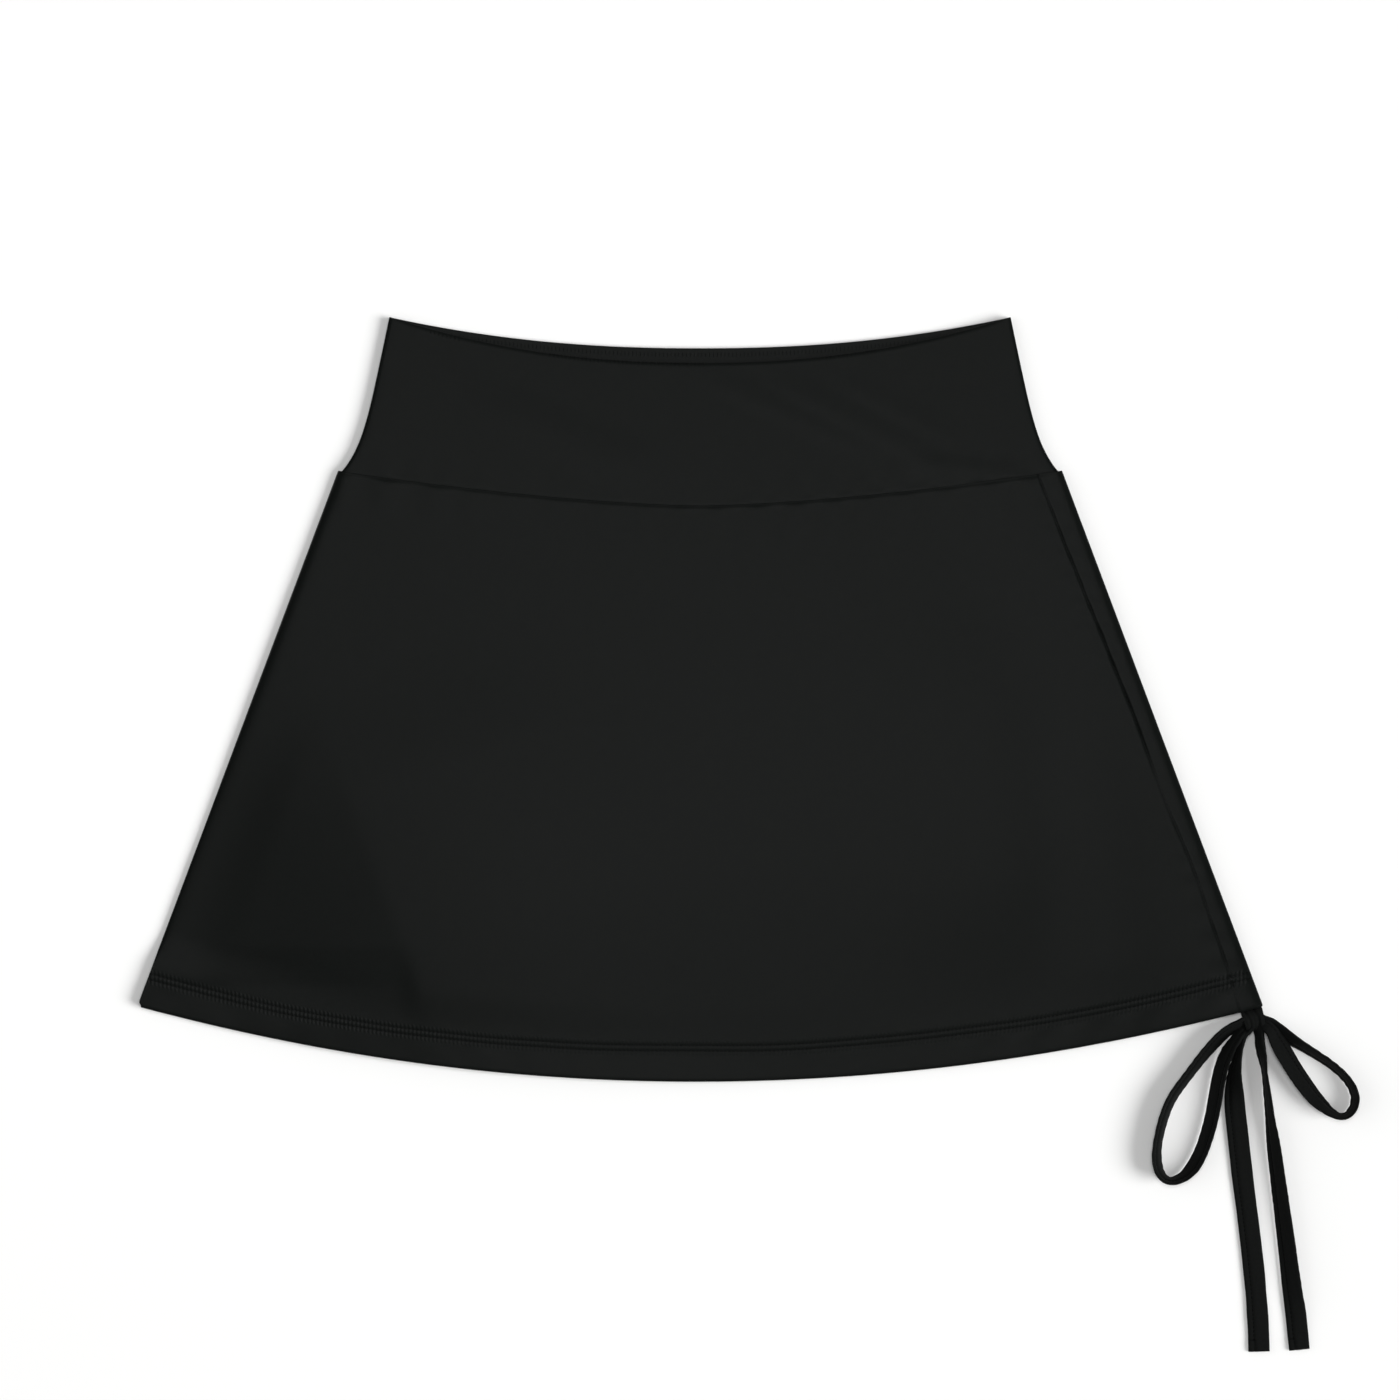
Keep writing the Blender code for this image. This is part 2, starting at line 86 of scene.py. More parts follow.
# ---- The front's fall and folds, which are fuller than in its solid ----------------------------------------
HEM_EASE = 0.0200  # over how far the front goes from its hem's level to its own
SIDE_ROLL = 0.0060
EASE = 0.0300  # over how far the folds come in from the sides
VALLEY_START = -0.0040  # how far outside the shorts the front starts to sink
VALLEY_RUN = 0.1100
VALLEY_TOP_Y, VALLEY_TOP_RUN = 0.060, 0.120
VALLEY_Z = SIDE_Z + 0.0011


def fold(top, foot, height, left, right, **more):
    """A ridge from its top to its foot. left and right are its widths on each side, at its top and foot."""
    return {"top": top, "foot": foot, "height": height, "left": left, "right": right, **more}


CREASE = fold(
    (-0.206, 0.010), (-0.146, -0.150), 0.0050, left=(0.060, 0.155), right=(0.16, 0.22), sharp=True, past=2.4
)
CREASE_BASE = fold(
    (-0.146, -0.1487), (-0.286, -0.1487), -0.0014,
    left=(0.020, 0.020), right=(0.026, 0.026), sharp=True, fade=0.08,
)  # fmt: skip
FOLDS = [
    fold((0.140, 0.060), (0.152, -0.110), 0.0009, left=(0.070, 0.080), right=(0.045, 0.045)),
    CREASE,
    fold((0.214, 0.030), (0.222, -0.150), 0.0012, left=(0.045, 0.045), right=(0.040, 0.040)),
    fold((0.010, -0.040), (0.050, -0.168), 0.0004, left=(0.060, 0.060), right=(0.060, 0.060)),
    CREASE_BASE,
]
FOLD_FADE = 0.4  # the share of its length over which a fold fades in and out
FOLD_PAST = 1.3  # where it has ended, in lengths from its top
FOLD_IN_HEM = 0.9  # the share of a fold's height that the hem keeps
WIDER_PAST_FOOT = 0.6
RISE = 0.0010  # how far the front stands up between its hem and the waist, by its distance above the hem
RISE_FROM, RISE_HIGHEST, RISE_TO = 0.0200, 0.1150, 0.2700
RISE_LEFT_X, RISE_RUN = -0.19, 0.10  # it comes in from the left here, over this width

# ---- Sizes of what shows -----------------------------------------------------------------------------------
SHELL = 0.0008  # the wall of a skirt panel
EDGE_ROUND, BAND_EDGE_ROUND = 0.00030, 0.00060
# The channel's stitching is an uneven line: where it is up the side seam, and how far in from it.
CHANNEL_LINE = [
    (-0.160, 0.0107),
    (-0.129, 0.0090),
    (-0.089, 0.0080),
    (-0.050, 0.0093),
    (-0.009, 0.0089),
    (0.025, 0.0097),
    (0.059, 0.0106),
    (0.085, 0.0113),
    (0.118, 0.0116),
]
CHANNEL_STITCH = 0.0024
BESIDE_CHANNEL = 0.0600  # how far from the channel the front comes down to what it lies on
CHANNEL_LIFT = 0.0006  # the channel's height above its solid
# The hem's cover stitching wanders too: where it is across the front, and how far above the edge.
HEM_LINE = [
    (-0.290, 0.0154),
    (-0.255, 0.0151),
    (-0.216, 0.0144),
    (-0.168, 0.0148),
    (-0.122, 0.0155),
    (-0.075, 0.0162),
    (-0.005, 0.0171),
    (0.042, 0.0165),
    (0.088, 0.0169),
    (0.135, 0.0169),
    (0.182, 0.0162),
    (0.229, 0.0160),
    (0.290, 0.0162),
]
HEM_ROWS = (-0.00146, 0.00146)  # its two rows, from the middle of the stitching
STITCH = 0.0021  # from one stitch to the next
# A stitch's length, width and height.
HEM_BEAD = (0.0016, 0.00045, 0.00034)
CHANNEL_BEAD = (0.0018, 0.00045, 0.00036)
TICK = (0.0030, 0.00042, 0.00034)
TIE_DASH = (0.0017, 0.00055, 0.0005)
TIE_PITCH = 0.0022


def smooth(t):
    """0 before 0, 1 after 1, and an S curve between."""
    t = min(max(t, 0.0), 1.0)
    return t * t * (3 - 2 * t)


def mix(a, b, t):
    """a at 0, b at 1, and in a straight line between."""
    return a + (b - a) * t


def read_off(table, at):
    """The value at a place, eased between the rows (place, value) of a table."""
    for (start, low), (end, high) in zip(table, table[1:]):
        if at < end:
            return mix(low, high, smooth((at - start) / (end - start)))
    return table[-1][1]


def spread(start, end, count):
    """count + 1 values from start to end, evenly apart."""
    return [mix(start, end, k / count) for k in range(count + 1)]


def uneven(along, run, line):
    """A slow wander between about -1 and 1 along a seam; line tells one seam's wander from another's."""
    return 1.5 * noise.noise(Vector((along / run, 7.3 * line, 0.4)))


def ripple(along, pitch, line):
    """Gathers along a seam: a wave whose size and spacing wander."""
    turn = 2 * math.pi * along / pitch + 2.4 * uneven(along, 3 * pitch, line)
    return math.sin(turn) * min(max(0.5 + 0.6 * uneven(along, 4 * pitch, line + 0.5), 0.08), 1.0)


# ---- Camera, light and floor -------------------------------------------------------------------------------
CAMERA_PLACE = (0, -0.00052, 3.004)
LENS, SENSOR = 148.35, 36  # in millimetres
FLOOR_HALF, FLOOR_SUNK = 6, 0.0002


def add_camera():
    """Straight above, far off, so that nothing leans."""
    data = bpy.data.cameras.new("overhead")
    data.sensor_width = SENSOR
    data.lens = LENS
    camera = bpy.data.objects.new("overhead", data)
    bpy.context.scene.collection.objects.link(camera)
    camera.location = CAMERA_PLACE
    bpy.context.scene.camera = camera


def add_lamp(name, kind, energy, place, aim=(0, 0, 0)):
    """A lamp turned towards aim."""
    data = bpy.data.lights.new(name, kind)
    data.energy = energy
    lamp = bpy.data.objects.new(name, data)
    bpy.context.scene.collection.objects.link(lamp)
    lamp.location = place
    lamp.rotation_euler = (Vector(place) - Vector(aim)).to_track_quat("Z", "Y").to_euler()
    lamp.visible_glossy = kind != "SUN"  # the side lights stay out of the cloth's gloss
    return data


def light_and_floor():
    """Soft light from above and the right, with a little from the left, on a pale floor."""
    scene = bpy.context.scene
    scene.view_settings.view_transform = "Standard"
    world = bpy.data.worlds.new("studio")
    scene.world = world
    world.use_nodes = True
    background = world.node_tree.nodes["Background"]
    background.inputs["Color"].default_value = (1.0, 1.0, 1.0, 1.0)
    background.inputs["Strength"].default_value = 0.20
    key = add_lamp("window_light", "SUN", 3.2, (1.6, -0.35, 1.15))
    key.angle = math.radians(34)
    fill = add_lamp("fill_light", "SUN", 0.6, (-1.5, 0.1, 0.9))
    fill.angle = math.radians(60)
    top = add_lamp("overhead_light", "AREA", 21.5, (0.10, 0.20, 2.6))
    top.size = 0.6
    table = bmesh.new()
    bmesh.ops.create_grid(table, x_segments=8, y_segments=8, size=FLOOR_HALF)
    bmesh.ops.translate(table, verts=table.verts[:], vec=(0, 0, -FLOOR_SUNK))
    floor = add_mesh("floor", table, pale_floor())


# ---- Materials ---------------------------------------------------------------------------------------------
WALE, COURSE = 0.00044, 0.00036  # one column and one row of the jersey's loops
RELIEF_DEPTH = 0.00006
RIB_RELIEF = 5.0  # how much higher than the loops a cover stitch's ridges are
SHEEN = 0.008
ROUGHNESS_SPREAD = 0.04


def new_material(name):
    material = bpy.data.materials.new(name)
    material.use_nodes = True
    return material, material.node_tree, material.node_tree.nodes["Principled BSDF"]


def add_node(tree, kind, settings=None, **inputs):
    """A shader node. settings are its own properties; an input takes a value or another node's output."""
    node = tree.nodes.new("ShaderNode" + kind)
    for key, value in (settings or {}).items():
        setattr(node, key, value)
    for key, value in inputs.items():
        socket = node.inputs[int(key[1:])] if key[0] == "i" and key[1:].isdigit() else node.inputs[key]
        if isinstance(value, bpy.types.NodeSocket):
            tree.links.new(value, socket)
        else:
            socket.default_value = value
    return node


def calc(tree, operation, *values):
    """A Math node's result."""
    inputs = {f"i{k}": value for k, value in enumerate(values)}
    return add_node(tree, "Math", {"operation": operation}, **inputs).outputs[0]


def between(tree, value, low, high, to_low=0.0, to_high=1.0):
    """value taken from low..high to to_low..to_high, held at both ends."""
    node = add_node(tree, "MapRange", {"interpolation_type": "SMOOTHSTEP"}, Value=value)
    for key, number in (("From Min", low), ("From Max", high), ("To Min", to_low), ("To Max", to_high)):
        node.inputs[key].default_value = number
    return node.outputs["Result"]


def pale_floor():
    material, tree, shader = new_material("pale_floor")
    grain = add_node(tree, "TexNoise", Scale=60.0, Detail=3.0)
    tree.links.new(add_node(tree, "TexCoord").outputs["Object"], grain.inputs["Vector"])
    tree.links.new(between(tree, grain.outputs["Fac"], 0.3, 0.7, 0.86, 0.90), shader.inputs["Roughness"])
    shader.inputs["Base Color"].default_value = (0.86, 0.86, 0.855, 1)
    shader.inputs["Specular IOR Level"].default_value = 0.1
    return material


def beat(tree, along, pitch):
    """A wave along a line, once for each pitch."""
    return calc(tree, "SINE", calc(tree, "MULTIPLY", along, 2 * math.pi / pitch))


def jersey_loops(tree, across, up):
    """The relief of a jersey's face: columns of small V-shaped loops."""
    loops = beat(tree, across, WALE)
    lean = calc(tree, "PINGPONG", calc(tree, "ADD", across, WALE / 4), WALE / 2)
    climb = calc(tree, "MULTIPLY_ADD", lean, 1.3, up)
    steps = beat(tree, climb, COURSE)
    return calc(tree, "MULTIPLY_ADD", steps, 0.5, loops)


def dye(tree, shader, colour, shade):
    """The base colour: the dye, times a factor about 1: an uneven tone, and where a knit has stitched rows,
    their painted shade.
    """
    tint = add_node(tree, "Mix", {"data_type": "RGBA", "blend_type": "MULTIPLY"})
    tint.inputs["Factor"].default_value = 1.0
    tint.inputs["A"].default_value = (*colour, 1)
    tree.links.new(shade, tint.inputs["B"])
    tree.links.new(tint.outputs["Result"], shader.inputs["Base Color"])


def finish_knit(tree, shader, fine, height, roughness, relief, gloss):
    """A knit's roughness, relief, gloss and sheen. fine is its fibres' unevenness."""
    low, high = roughness - ROUGHNESS_SPREAD, roughness + ROUGHNESS_SPREAD
    tree.links.new(between(tree, fine, 0.3, 0.7, low, high), shader.inputs["Roughness"])
    bump = add_node(tree, "Bump", Height=height, Strength=relief, Distance=RELIEF_DEPTH)
    tree.links.new(bump.outputs["Normal"], shader.inputs["Normal"])
    shader.inputs["Specular IOR Level"].default_value = gloss
    shader.inputs["Sheen Weight"].default_value = SHEEN


def line_place(tree, uv_map):
    """How far along a seam's line a point is, and how far off it."""
    place = add_node(tree, "UVMap", {"uv_map": uv_map}).outputs["UV"]
    along, off, _ = add_node(tree, "SeparateXYZ", Vector=place).outputs
    return along, off


def knit(name, colour, roughness, relief=0.20, gloss=0.055, rows=(), ribs=()):
    """A fine jersey. Its wales run up the cut, whose UV map is "cut", in metres; its dye is slightly uneven.
    rows are stitched lines pressed into it, whose groove and needle holes are painted in as shade that
    darkens the colour along each row: (UV map of along and off, how far off, pitch). ribs are the ridges that
    a cover stitch draws up across its rows: (UV map, middle, half width, pitch)."""
    material, tree, shader = new_material(name)
    cut = add_node(tree, "UVMap", {"uv_map": "cut"}).outputs["UV"]
    across, up, _ = add_node(tree, "SeparateXYZ", Vector=cut).outputs
    weave = jersey_loops(tree, across, up)
    broad = add_node(tree, "TexNoise", Vector=cut, Scale=16.0, Detail=3.0).outputs["Fac"]
    fine = add_node(tree, "TexNoise", Vector=cut, Scale=900.0, Detail=2.0).outputs["Fac"]
    slow = between(tree, broad, 0.3, 0.7, 0.985, 1.015)
    shade = calc(tree, "MULTIPLY", slow, between(tree, fine, 0.3, 0.7, 0.90, 1.10))
    height = calc(tree, "MULTIPLY_ADD", fine, 0.8, weave)
    for uv_map, middle, pitch in rows:
        along, off = line_place(tree, uv_map)
        away = calc(tree, "ABSOLUTE", calc(tree, "SUBTRACT", off, middle))
        # Painted shade: the colour darkens near each stitched row, most at its needle holes, standing in for
        # the shade in the pressed groove and holes.
        near = between(tree, away, 0.0002, 0.0008, 1.0, 0.0)
        hole = between(tree, beat(tree, along, pitch), -0.2, 0.9)
        painted_row_shade = calc(tree, "MULTIPLY", near, calc(tree, "MULTIPLY_ADD", hole, 0.42, 0.16))
        shade = calc(tree, "MULTIPLY", shade, calc(tree, "SUBTRACT", 1.0, painted_row_shade))
    for uv_map, middle, half, pitch in ribs:
        along, off = line_place(tree, uv_map)
        away = calc(tree, "ABSOLUTE", calc(tree, "SUBTRACT", off, middle))
        near = between(tree, away, half * 0.7, half, 1.0, 0.0)
        rib = calc(tree, "MULTIPLY", near, beat(tree, along, pitch))
        height = calc(tree, "MULTIPLY_ADD", rib, RIB_RELIEF, height)
    dye(tree, shader, colour, shade)
    finish_knit(tree, shader, fine, height, roughness, relief, gloss)
    shader.inputs["Sheen Roughness"].default_value = 0.45
    return material


def thread(name, colour, gloss):
    """Sewing thread, uneven from ply to ply."""
    material, tree, shader = new_material(name)
    place = add_node(tree, "TexCoord").outputs["Object"]
    ply = add_node(tree, "TexNoise", Vector=place, Scale=2600.0, Detail=2.0).outputs["Fac"]
    dye(tree, shader, colour, between(tree, ply, 0.3, 0.7, 0.8, 1.2))
    tree.links.new(between(tree, ply, 0.3, 0.7, 0.45, 0.6), shader.inputs["Roughness"])
    shader.inputs["Specular IOR Level"].default_value = gloss
    return material


SKIRT_COLOUR = (0.0036, 0.0043, 0.0039)
# The hem's two rows and the channel's line are painted darker in the skirt's colour: painted shade of their
# pressed groove and needle holes.
HEM_STITCHING = [("hem", row, STITCH) for row in HEM_ROWS]
skirt_knit = knit(
    "skirt_jersey",
    SKIRT_COLOUR,
    0.35,
    rows=[*HEM_STITCHING, ("side", 0.0, CHANNEL_STITCH)],
    ribs=[("hem", 0.0, 0.0042, STITCH)],
)
band_knit = knit("waistband_jersey", SKIRT_COLOUR, 0.35)
tie_knit = knit("tie_jersey", (0.0062, 0.0066, 0.0064), 0.60, relief=0.16, gloss=0.02)
# The threads are a darker black than the cloth. This is partly a darker dye and partly painted shade of the
# dents and grooves that the stitches sink into.
skirt_thread = thread("skirt_thread", (0.0026, 0.0030, 0.0028), 0.06)
tie_thread = thread("tie_thread", (0.0030, 0.0032, 0.0031), 0.02)


# ---- Making pieces -----------------------------------------------------------------------------------------
def add_mesh(name, shape, material):
    """A piece from a bmesh, smooth shaded."""
    for face in shape.faces:
        face.smooth = True
    mesh = bpy.data.meshes.new(name)
    shape.to_mesh(mesh)
    shape.free()
    mesh.materials.append(material)
    piece = bpy.data.objects.new(name, mesh)
    bpy.context.scene.collection.objects.link(piece)
    return piece


def grid_of(columns, rows, place):
    """A bmesh grid. place(i, j) gives where column i crosses row j, counted from the top left, and the UVs
    there by map name."""
    shape = bmesh.new()
    bmesh.ops.create_grid(shape, x_segments=columns, y_segments=rows, size=1.0)
    laid = {}
    for vert in shape.verts:
        i = round((vert.co.x + 1) / 2 * columns)
        j = round((1 - vert.co.y) / 2 * rows)
        vert.co, laid[vert] = place(i, j)
    maps = {name: shape.loops.layers.uv.new(name) for name in next(iter(laid.values()))}
    for face in shape.faces:
        for loop in face.loops:
            for name, layer in maps.items():
                loop[layer].uv = laid[loop.vert][name]
    return shape


def thicken(piece, wall, edge_round, segments=2, even=True):
    """Gives a sheet its wall, half on each side, and rounds its cut edges."""
    solid = piece.modifiers.new("wall", "SOLIDIFY")
    solid.thickness = wall
    solid.offset = 0.0
    solid.use_even_offset = even
    rounding = piece.modifiers.new("rounded_edges", "BEVEL")
    rounding.width = edge_round
    rounding.segments = segments
    rounding.limit_method = "ANGLE"
    rounding.angle_limit = math.radians(50)


def surface_of(piece):
    """A tree of the piece as it shows, to lay stitches on."""
    return BVHTree.FromObject(piece, bpy.context.evaluated_depsgraph_get())


def stitch_shape():
    """One stitch: a low bead, a unit long, wide and high."""
    bead = bmesh.new()
    bmesh.ops.create_uvsphere(bead, u_segments=6, v_segments=4, radius=0.5)
    bmesh.ops.rotate(bead, verts=bead.verts[:], matrix=Matrix.Rotation(math.pi / 2, 3, "Y"))
    mesh = bpy.data.meshes.new("bead")
    bead.to_mesh(mesh)
    bead.free()
    return mesh


def stitches(name, places, size, material):
    """Joined stitches. places are (middle, along, out); size is a stitch's length, width and height."""
    bead = stitch_shape()
    joined = bmesh.new()
    for middle, along, out in places:
        along, out = along.normalized(), out.normalized()
        side = out.cross(along)
        turn = Matrix((along, side, out)).transposed()
        stitch = bead.copy()
        stitch.transform(Matrix.Translation(middle) @ turn.to_4x4() @ Matrix.Diagonal((*size, 1)))
        joined.from_mesh(stitch)
        bpy.data.meshes.remove(stitch)
    bpy.data.meshes.remove(bead)
    return add_mesh(name, joined, material)


# ---- Drawcord and bow --------------------------------------------------------------------------------------
# Routes from the knot's middle: right and down, the lift of the strip's lower edge, in millimetres, and its
# roll in degrees. A positive roll lifts its edge on the right hand.
MOUTH = (0.0, -6.4, 1.6, 0)
LOOP_LEFT = [
    (-6.1, 0.4, 1.6, 48),
    (-11.8, 3.4, 1.0, 50),
    (-16.8, 7.2, 0.5, 53),
    (-24.8, 15.8, 0.2, 57),
    (-33.4, 26.8, 0, 61),
    (-42.0, 38.8, 0, 62),
    (-46.7, 49.7, 0, 62),
    (-49.8, 62.7, 0, 63),
    (-50.2, 72.0, 0, 62),
    (-48.2, 79.0, 0, 67),
    (-43.7, 82.4, 0, 77),
    (-37.2, 80.6, 0, 71),
    (-31.8, 75.4, 0, 60),
    (-27.6, 67.9, 0, 58),
    (-24.5, 59.3, 0, 57),
    (-21.9, 49.7, 0, 57),
    (-20.1, 40.3, 0, 57),
    (-18.5, 31.0, 0.2, 57),
    (-16.2, 21.5, 0.8, 57),
    (-13.0, 14.0, 1.8, 59),
    (-10.2, 9.8, 2.6, 62),
]
LOOP_RIGHT = [
    (8.8, 0.8, 0.4, -28),
    (12.2, 3.6, 0.3, -36),
    (17.2, 7.4, 0.2, -50),
    (22.9, 11.0, 0, -60),
    (31.0, 16.0, 0, -66),
    (39.3, 21.4, 0, -70),
    (46.2, 27.2, 0, -72),
    (50.8, 33.2, 0, -73),
    (52.7, 39.4, 0, -74),
    (51.2, 45.4, 0, -76),
    (46.8, 48.9, 0, -78),
    (40.6, 47.0, 0, -66),
    (33.3, 40.8, 0, -44),
    (28.1, 34.6, 0.3, -37),
    (21.8, 25.7, 1.2, -34),
    (16.4, 16.9, 2.6, -32),
    (12.0, 9.6, 3.9, -30),
    (8.8, 4.0, 4.8, -28),
]
TAIL_LEFT = [
    (-4.2, 6.4, 0.8, -80),
    (-7.2, 13.4, 0.4, -74),
    (-8.8, 20.0, 0.2, -66),
    (-9.8, 27.8, 0, -50),
    (-9.9, 35.6, 0, -30),
    (-9.4, 45.0, 0, -10),
    (-8.0, 57.4, 0, 0),
    (-5.2, 82.4, 0, 0),
    (-2.0, 107.4, 0, 0),
    (0.8, 132.4, 0, 0),
    (2.6, 155.3, 0, 0),
    (3.2, 171.6, 0, 0),
]
TAIL_RIGHT = [
    (2.9, 5.6, 1.2, -52),
    (3.5, 13.0, 0.8, -62),
    (4.6, 19.4, 0.3, -72),
    (5.5, 25.7, 0, -80),
    (7.1, 38.2, 0, -75),
    (8.6, 50.7, 0, -69),
    (10.3, 63.1, 0, -57),
    (13.6, 88.1, 0, -45),
    (16.9, 113.1, 0, -38),
    (20.1, 138.1, 0, -28),
    (22.0, 150.6, 0, -14),
    (23.4, 163.1, 0, -4),
    (24.2, 170.6, 0, 0),
]
# Where each strand runs inside the knot, between the channel's mouth, its loop and its tail.
THROUGH_LEFT = [(-1.6, -3.2, 1.4, 20), (-3.4, -0.8, 1.4, 40)]
BACK_LEFT = [(-6.0, 4.6, 1.2, 50), (-3.6, 3.6, 0.9, 0), (-2.4, 4.6, 0.9, -50)]
THROUGH_RIGHT = [(1.6, -3.2, 1.4, -10), (4.6, -0.8, 1.0, -20)]
BACK_RIGHT = [(4.6, 1.0, 3.0, -20), (2.4, 1.8, 2.0, -30)]
PINCH = 0.60  # a strand's share of its width in the knot
PINCH_FROM, PINCH_RUN = 0.0060, 0.0160
ROUTE_STEP = 0.0013


def route_keys(rows):
    """A route's rows as (x, y, height of the strip's middle, roll)."""
    keys = []
    for right, down, lift, roll in rows:
        x, y = KNOT_CENTRE[0] + right * 0.001, KNOT_CENTRE[1] - down * 0.001
        turn = math.radians(roll)
        width = TIE_WIDTH * width_share(math.hypot(right, down) * 0.001)
        tall = width * abs(math.sin(turn)) + TIE_THICK * abs(math.cos(turn))
        keys.append(Vector((x, y, GAP + lift * 0.001 + tall / 2, turn)))
    return keys


def width_share(from_knot):
    """A strand's share of its width: it is pinched in and near the knot."""
    return mix(PINCH, 1.0, smooth((from_knot - PINCH_FROM) / PINCH_RUN))


def smooth_route(rows):
    """Points about ROUTE_STEP apart on a smooth curve through the rows, and the strip's roll at each."""
    keys = route_keys(rows)
    keys = [2 * keys[0] - keys[1], *keys, 2 * keys[-1] - keys[-2]]
    route = [keys[1]]
    for before, start, end, after in zip(keys, keys[1:], keys[2:], keys[3:]):
        steps = max(1, round((end - start).to_3d().length / ROUTE_STEP))
        for t in spread(0, 1, steps)[1:]:
            line = start + (end - start) * t
            bend_in = (start - before) - (end - start)
            bend_out = (end - start) - (after - end)
            route.append(line + (bend_in * t * (1 - t) ** 2 + bend_out * t * t * (1 - t)) / 2)
    return [point.to_3d() for point in route], [point[3] for point in route]


def strip_frames(points, rolls):
    """At each point of a flat strip: the point, its direction, across it to the right, and off its face."""
    frames = []
    for k, (point, roll) in enumerate(zip(points, rolls)):
        along = (points[min(k + 1, len(points) - 1)] - points[max(k - 1, 0)]).normalized()
        right = along.cross(UP).normalized()
        across = right * math.cos(roll) + right.cross(along) * math.sin(roll)
        frames.append((point, along, across, across.cross(along)))
    return frames


# The upper half of a strip's section, from its left edge: shares of its width across and of its thickness
# out. The dent is the stitched line. The lower half is the same, turned over.
UPPER_SECTION = [
    (-0.50, 0.0),
    (-0.49, 0.26),
    (-0.44, 0.46),
    (-0.34, 0.50),
    (-0.18, 0.46),
    (-0.04, 0.52),
    (0.08, 0.50),
    (0.17, 0.34),
    (0.22, 0.12),
    (0.27, 0.32),
    (0.38, 0.36),
    (0.47, 0.26),
]
SECTION = UPPER_SECTION + [(-across, -out) for across, out in UPPER_SECTION]
STITCHED_AT = 0.22  # the stitched line, in widths from the strip's middle
STITCHED_FROM, STITCHED_TO = 0.016, 0.004  # how far from the strip's two ends it starts and stops
END_HEM = 0.0073  # the turned hem at a tail's end
END_HEM_SWELL = 0.45
END_ROW = 0.0060, 0.0050  # the row across a tail's hem, from its end
LOWEST = 0.00002  # a strip goes no lower


def strip_of(name, rows, line):
    """A flat tie along its whole route, its rings' middles, how far along each is, and its frames."""
    points, rolls = smooth_route(rows)
    run = [0.0]
    for before, after in zip(points, points[1:]):
        run.append(run[-1] + (after - before).length)
    rolls = [roll + math.radians(2.5) * uneven(s, 0.030, line) for roll, s in zip(rolls, run)]
    frames = strip_frames(points, rolls)
    knot = Vector((*KNOT_CENTRE, 0.0038))
    around = len(SECTION)

    def place(i, j):
        point, _, across, out = frames[j]
        share = width_share(math.hypot(*(point - knot).xy))
        a, o = SECTION[i % around]
        width = TIE_WIDTH * share * (1 + 0.025 * uneven(run[j], 0.012, line + 0.3))
        to_end = run[-1] - run[j]
        thick = TIE_THICK * mix(1.5, 1.0, smooth((share - PINCH) / (1 - PINCH)))
        thick *= 1 + END_HEM_SWELL * smooth((END_HEM - to_end) / 0.0010)
        thick *= 1 - END_HEM_SWELL * near_line(to_end - END_HEM - 0.0004, 0.0006) * smooth(share)
        cup = 0.00035 * (4 * a * a - 0.4) * uneven(run[j], 0.045, line + 0.8)
        edge_line = line + (0.1 if a < 0 else 0.6)
        edge = 0.00016 * ripple(run[j], 0.0052, edge_line) * smooth((abs(a) - 0.2) / 0.3)
        spot = point + across * (a * width) + out * (o * thick + cup + edge)
        spot.z = max(spot.z, LOWEST)
        return spot, {"cut": (i / around * 2.2 * TIE_WIDTH, run[j])}

    shape = grid_of(around, len(points) - 1, place)
    bmesh.ops.remove_doubles(shape, verts=shape.verts[:], dist=1e-6)
    bmesh.ops.holes_fill(shape, edges=[edge for edge in shape.edges if edge.is_boundary], sides=0)
    bmesh.ops.recalc_face_normals(shape, faces=shape.faces[:])
    piece = add_mesh(name, shape, tie_knit)
    return piece, points, run, frames


def strip_stitches(strip, start, end, share, face, turned=False):
    """Stitches along a strip from start to end of its run, at a share of its width across, on its upper face
    (face 1) or its lower one (-1); turned stitches lie across the strip."""
    _, _, run, frames = strip
    knot = Vector((*KNOT_CENTRE, 0.0))
    places = []
    at = start
    ring = 0
    while at < end:
        while run[ring + 1] < at:
            ring += 1
        t = (at - run[ring]) / (run[ring + 1] - run[ring])
        point, along, across, out = [low.lerp(high, t) for low, high in zip(frames[ring], frames[ring + 1])]
        wide = TIE_WIDTH * width_share(math.hypot(*(point - knot).xy))
        middle = point + across * (share * wide) + out * (face * TIE_THICK * (0.50 if turned else 0.24))
        places.append((middle, across if turned else along, out * face))
        at += TIE_PITCH
    return places


def make_bow(knot):
    """Both strips of the drawcord, each from the channel's mouth to its tail's end, with their stitches."""
    left = strip_of("drawcord_left", [MOUTH, *THROUGH_LEFT, *LOOP_LEFT, *BACK_LEFT, *TAIL_LEFT], 1)
    right = strip_of("drawcord_right", [MOUTH, *THROUGH_RIGHT, *LOOP_RIGHT, *BACK_RIGHT, *TAIL_RIGHT], 2)
    for word, strip in (("left", left), ("right", right)):
        piece, points, run, _ = strip
        end = run[-1]
        places = strip_stitches(strip, STITCHED_FROM, end - STITCHED_TO, STITCHED_AT, 1)
        places += strip_stitches(strip, STITCHED_FROM, end - STITCHED_TO, -STITCHED_AT, -1)
        for share in spread(-0.36, 0.36, 5):
            for face in (1, -1):
                places += strip_stitches(strip, end - END_ROW[0], end - END_ROW[1], share, face, turned=True)
        rows = stitches(f"tie_stitches_{word}", places, TIE_DASH, tie_thread)
        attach(rows, "root")
        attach(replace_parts(piece, f"tie_loop_{word}", f"tie_tail_{word}"), "root")


# How far the knot's cloth stands out, in millimetres, from its left side (-1) to its right (1).
PLEATS = [
    (-1.00, 0.0),
    (-0.74, 0.40),
    (-0.52, -0.60),
    (-0.30, 0.30),
    (-0.10, 0.05),
    (0.10, 0.35),
    (0.33, -0.65),
    (0.58, 0.55),
    (0.82, 0.40),
    (1.00, 0.0),
]


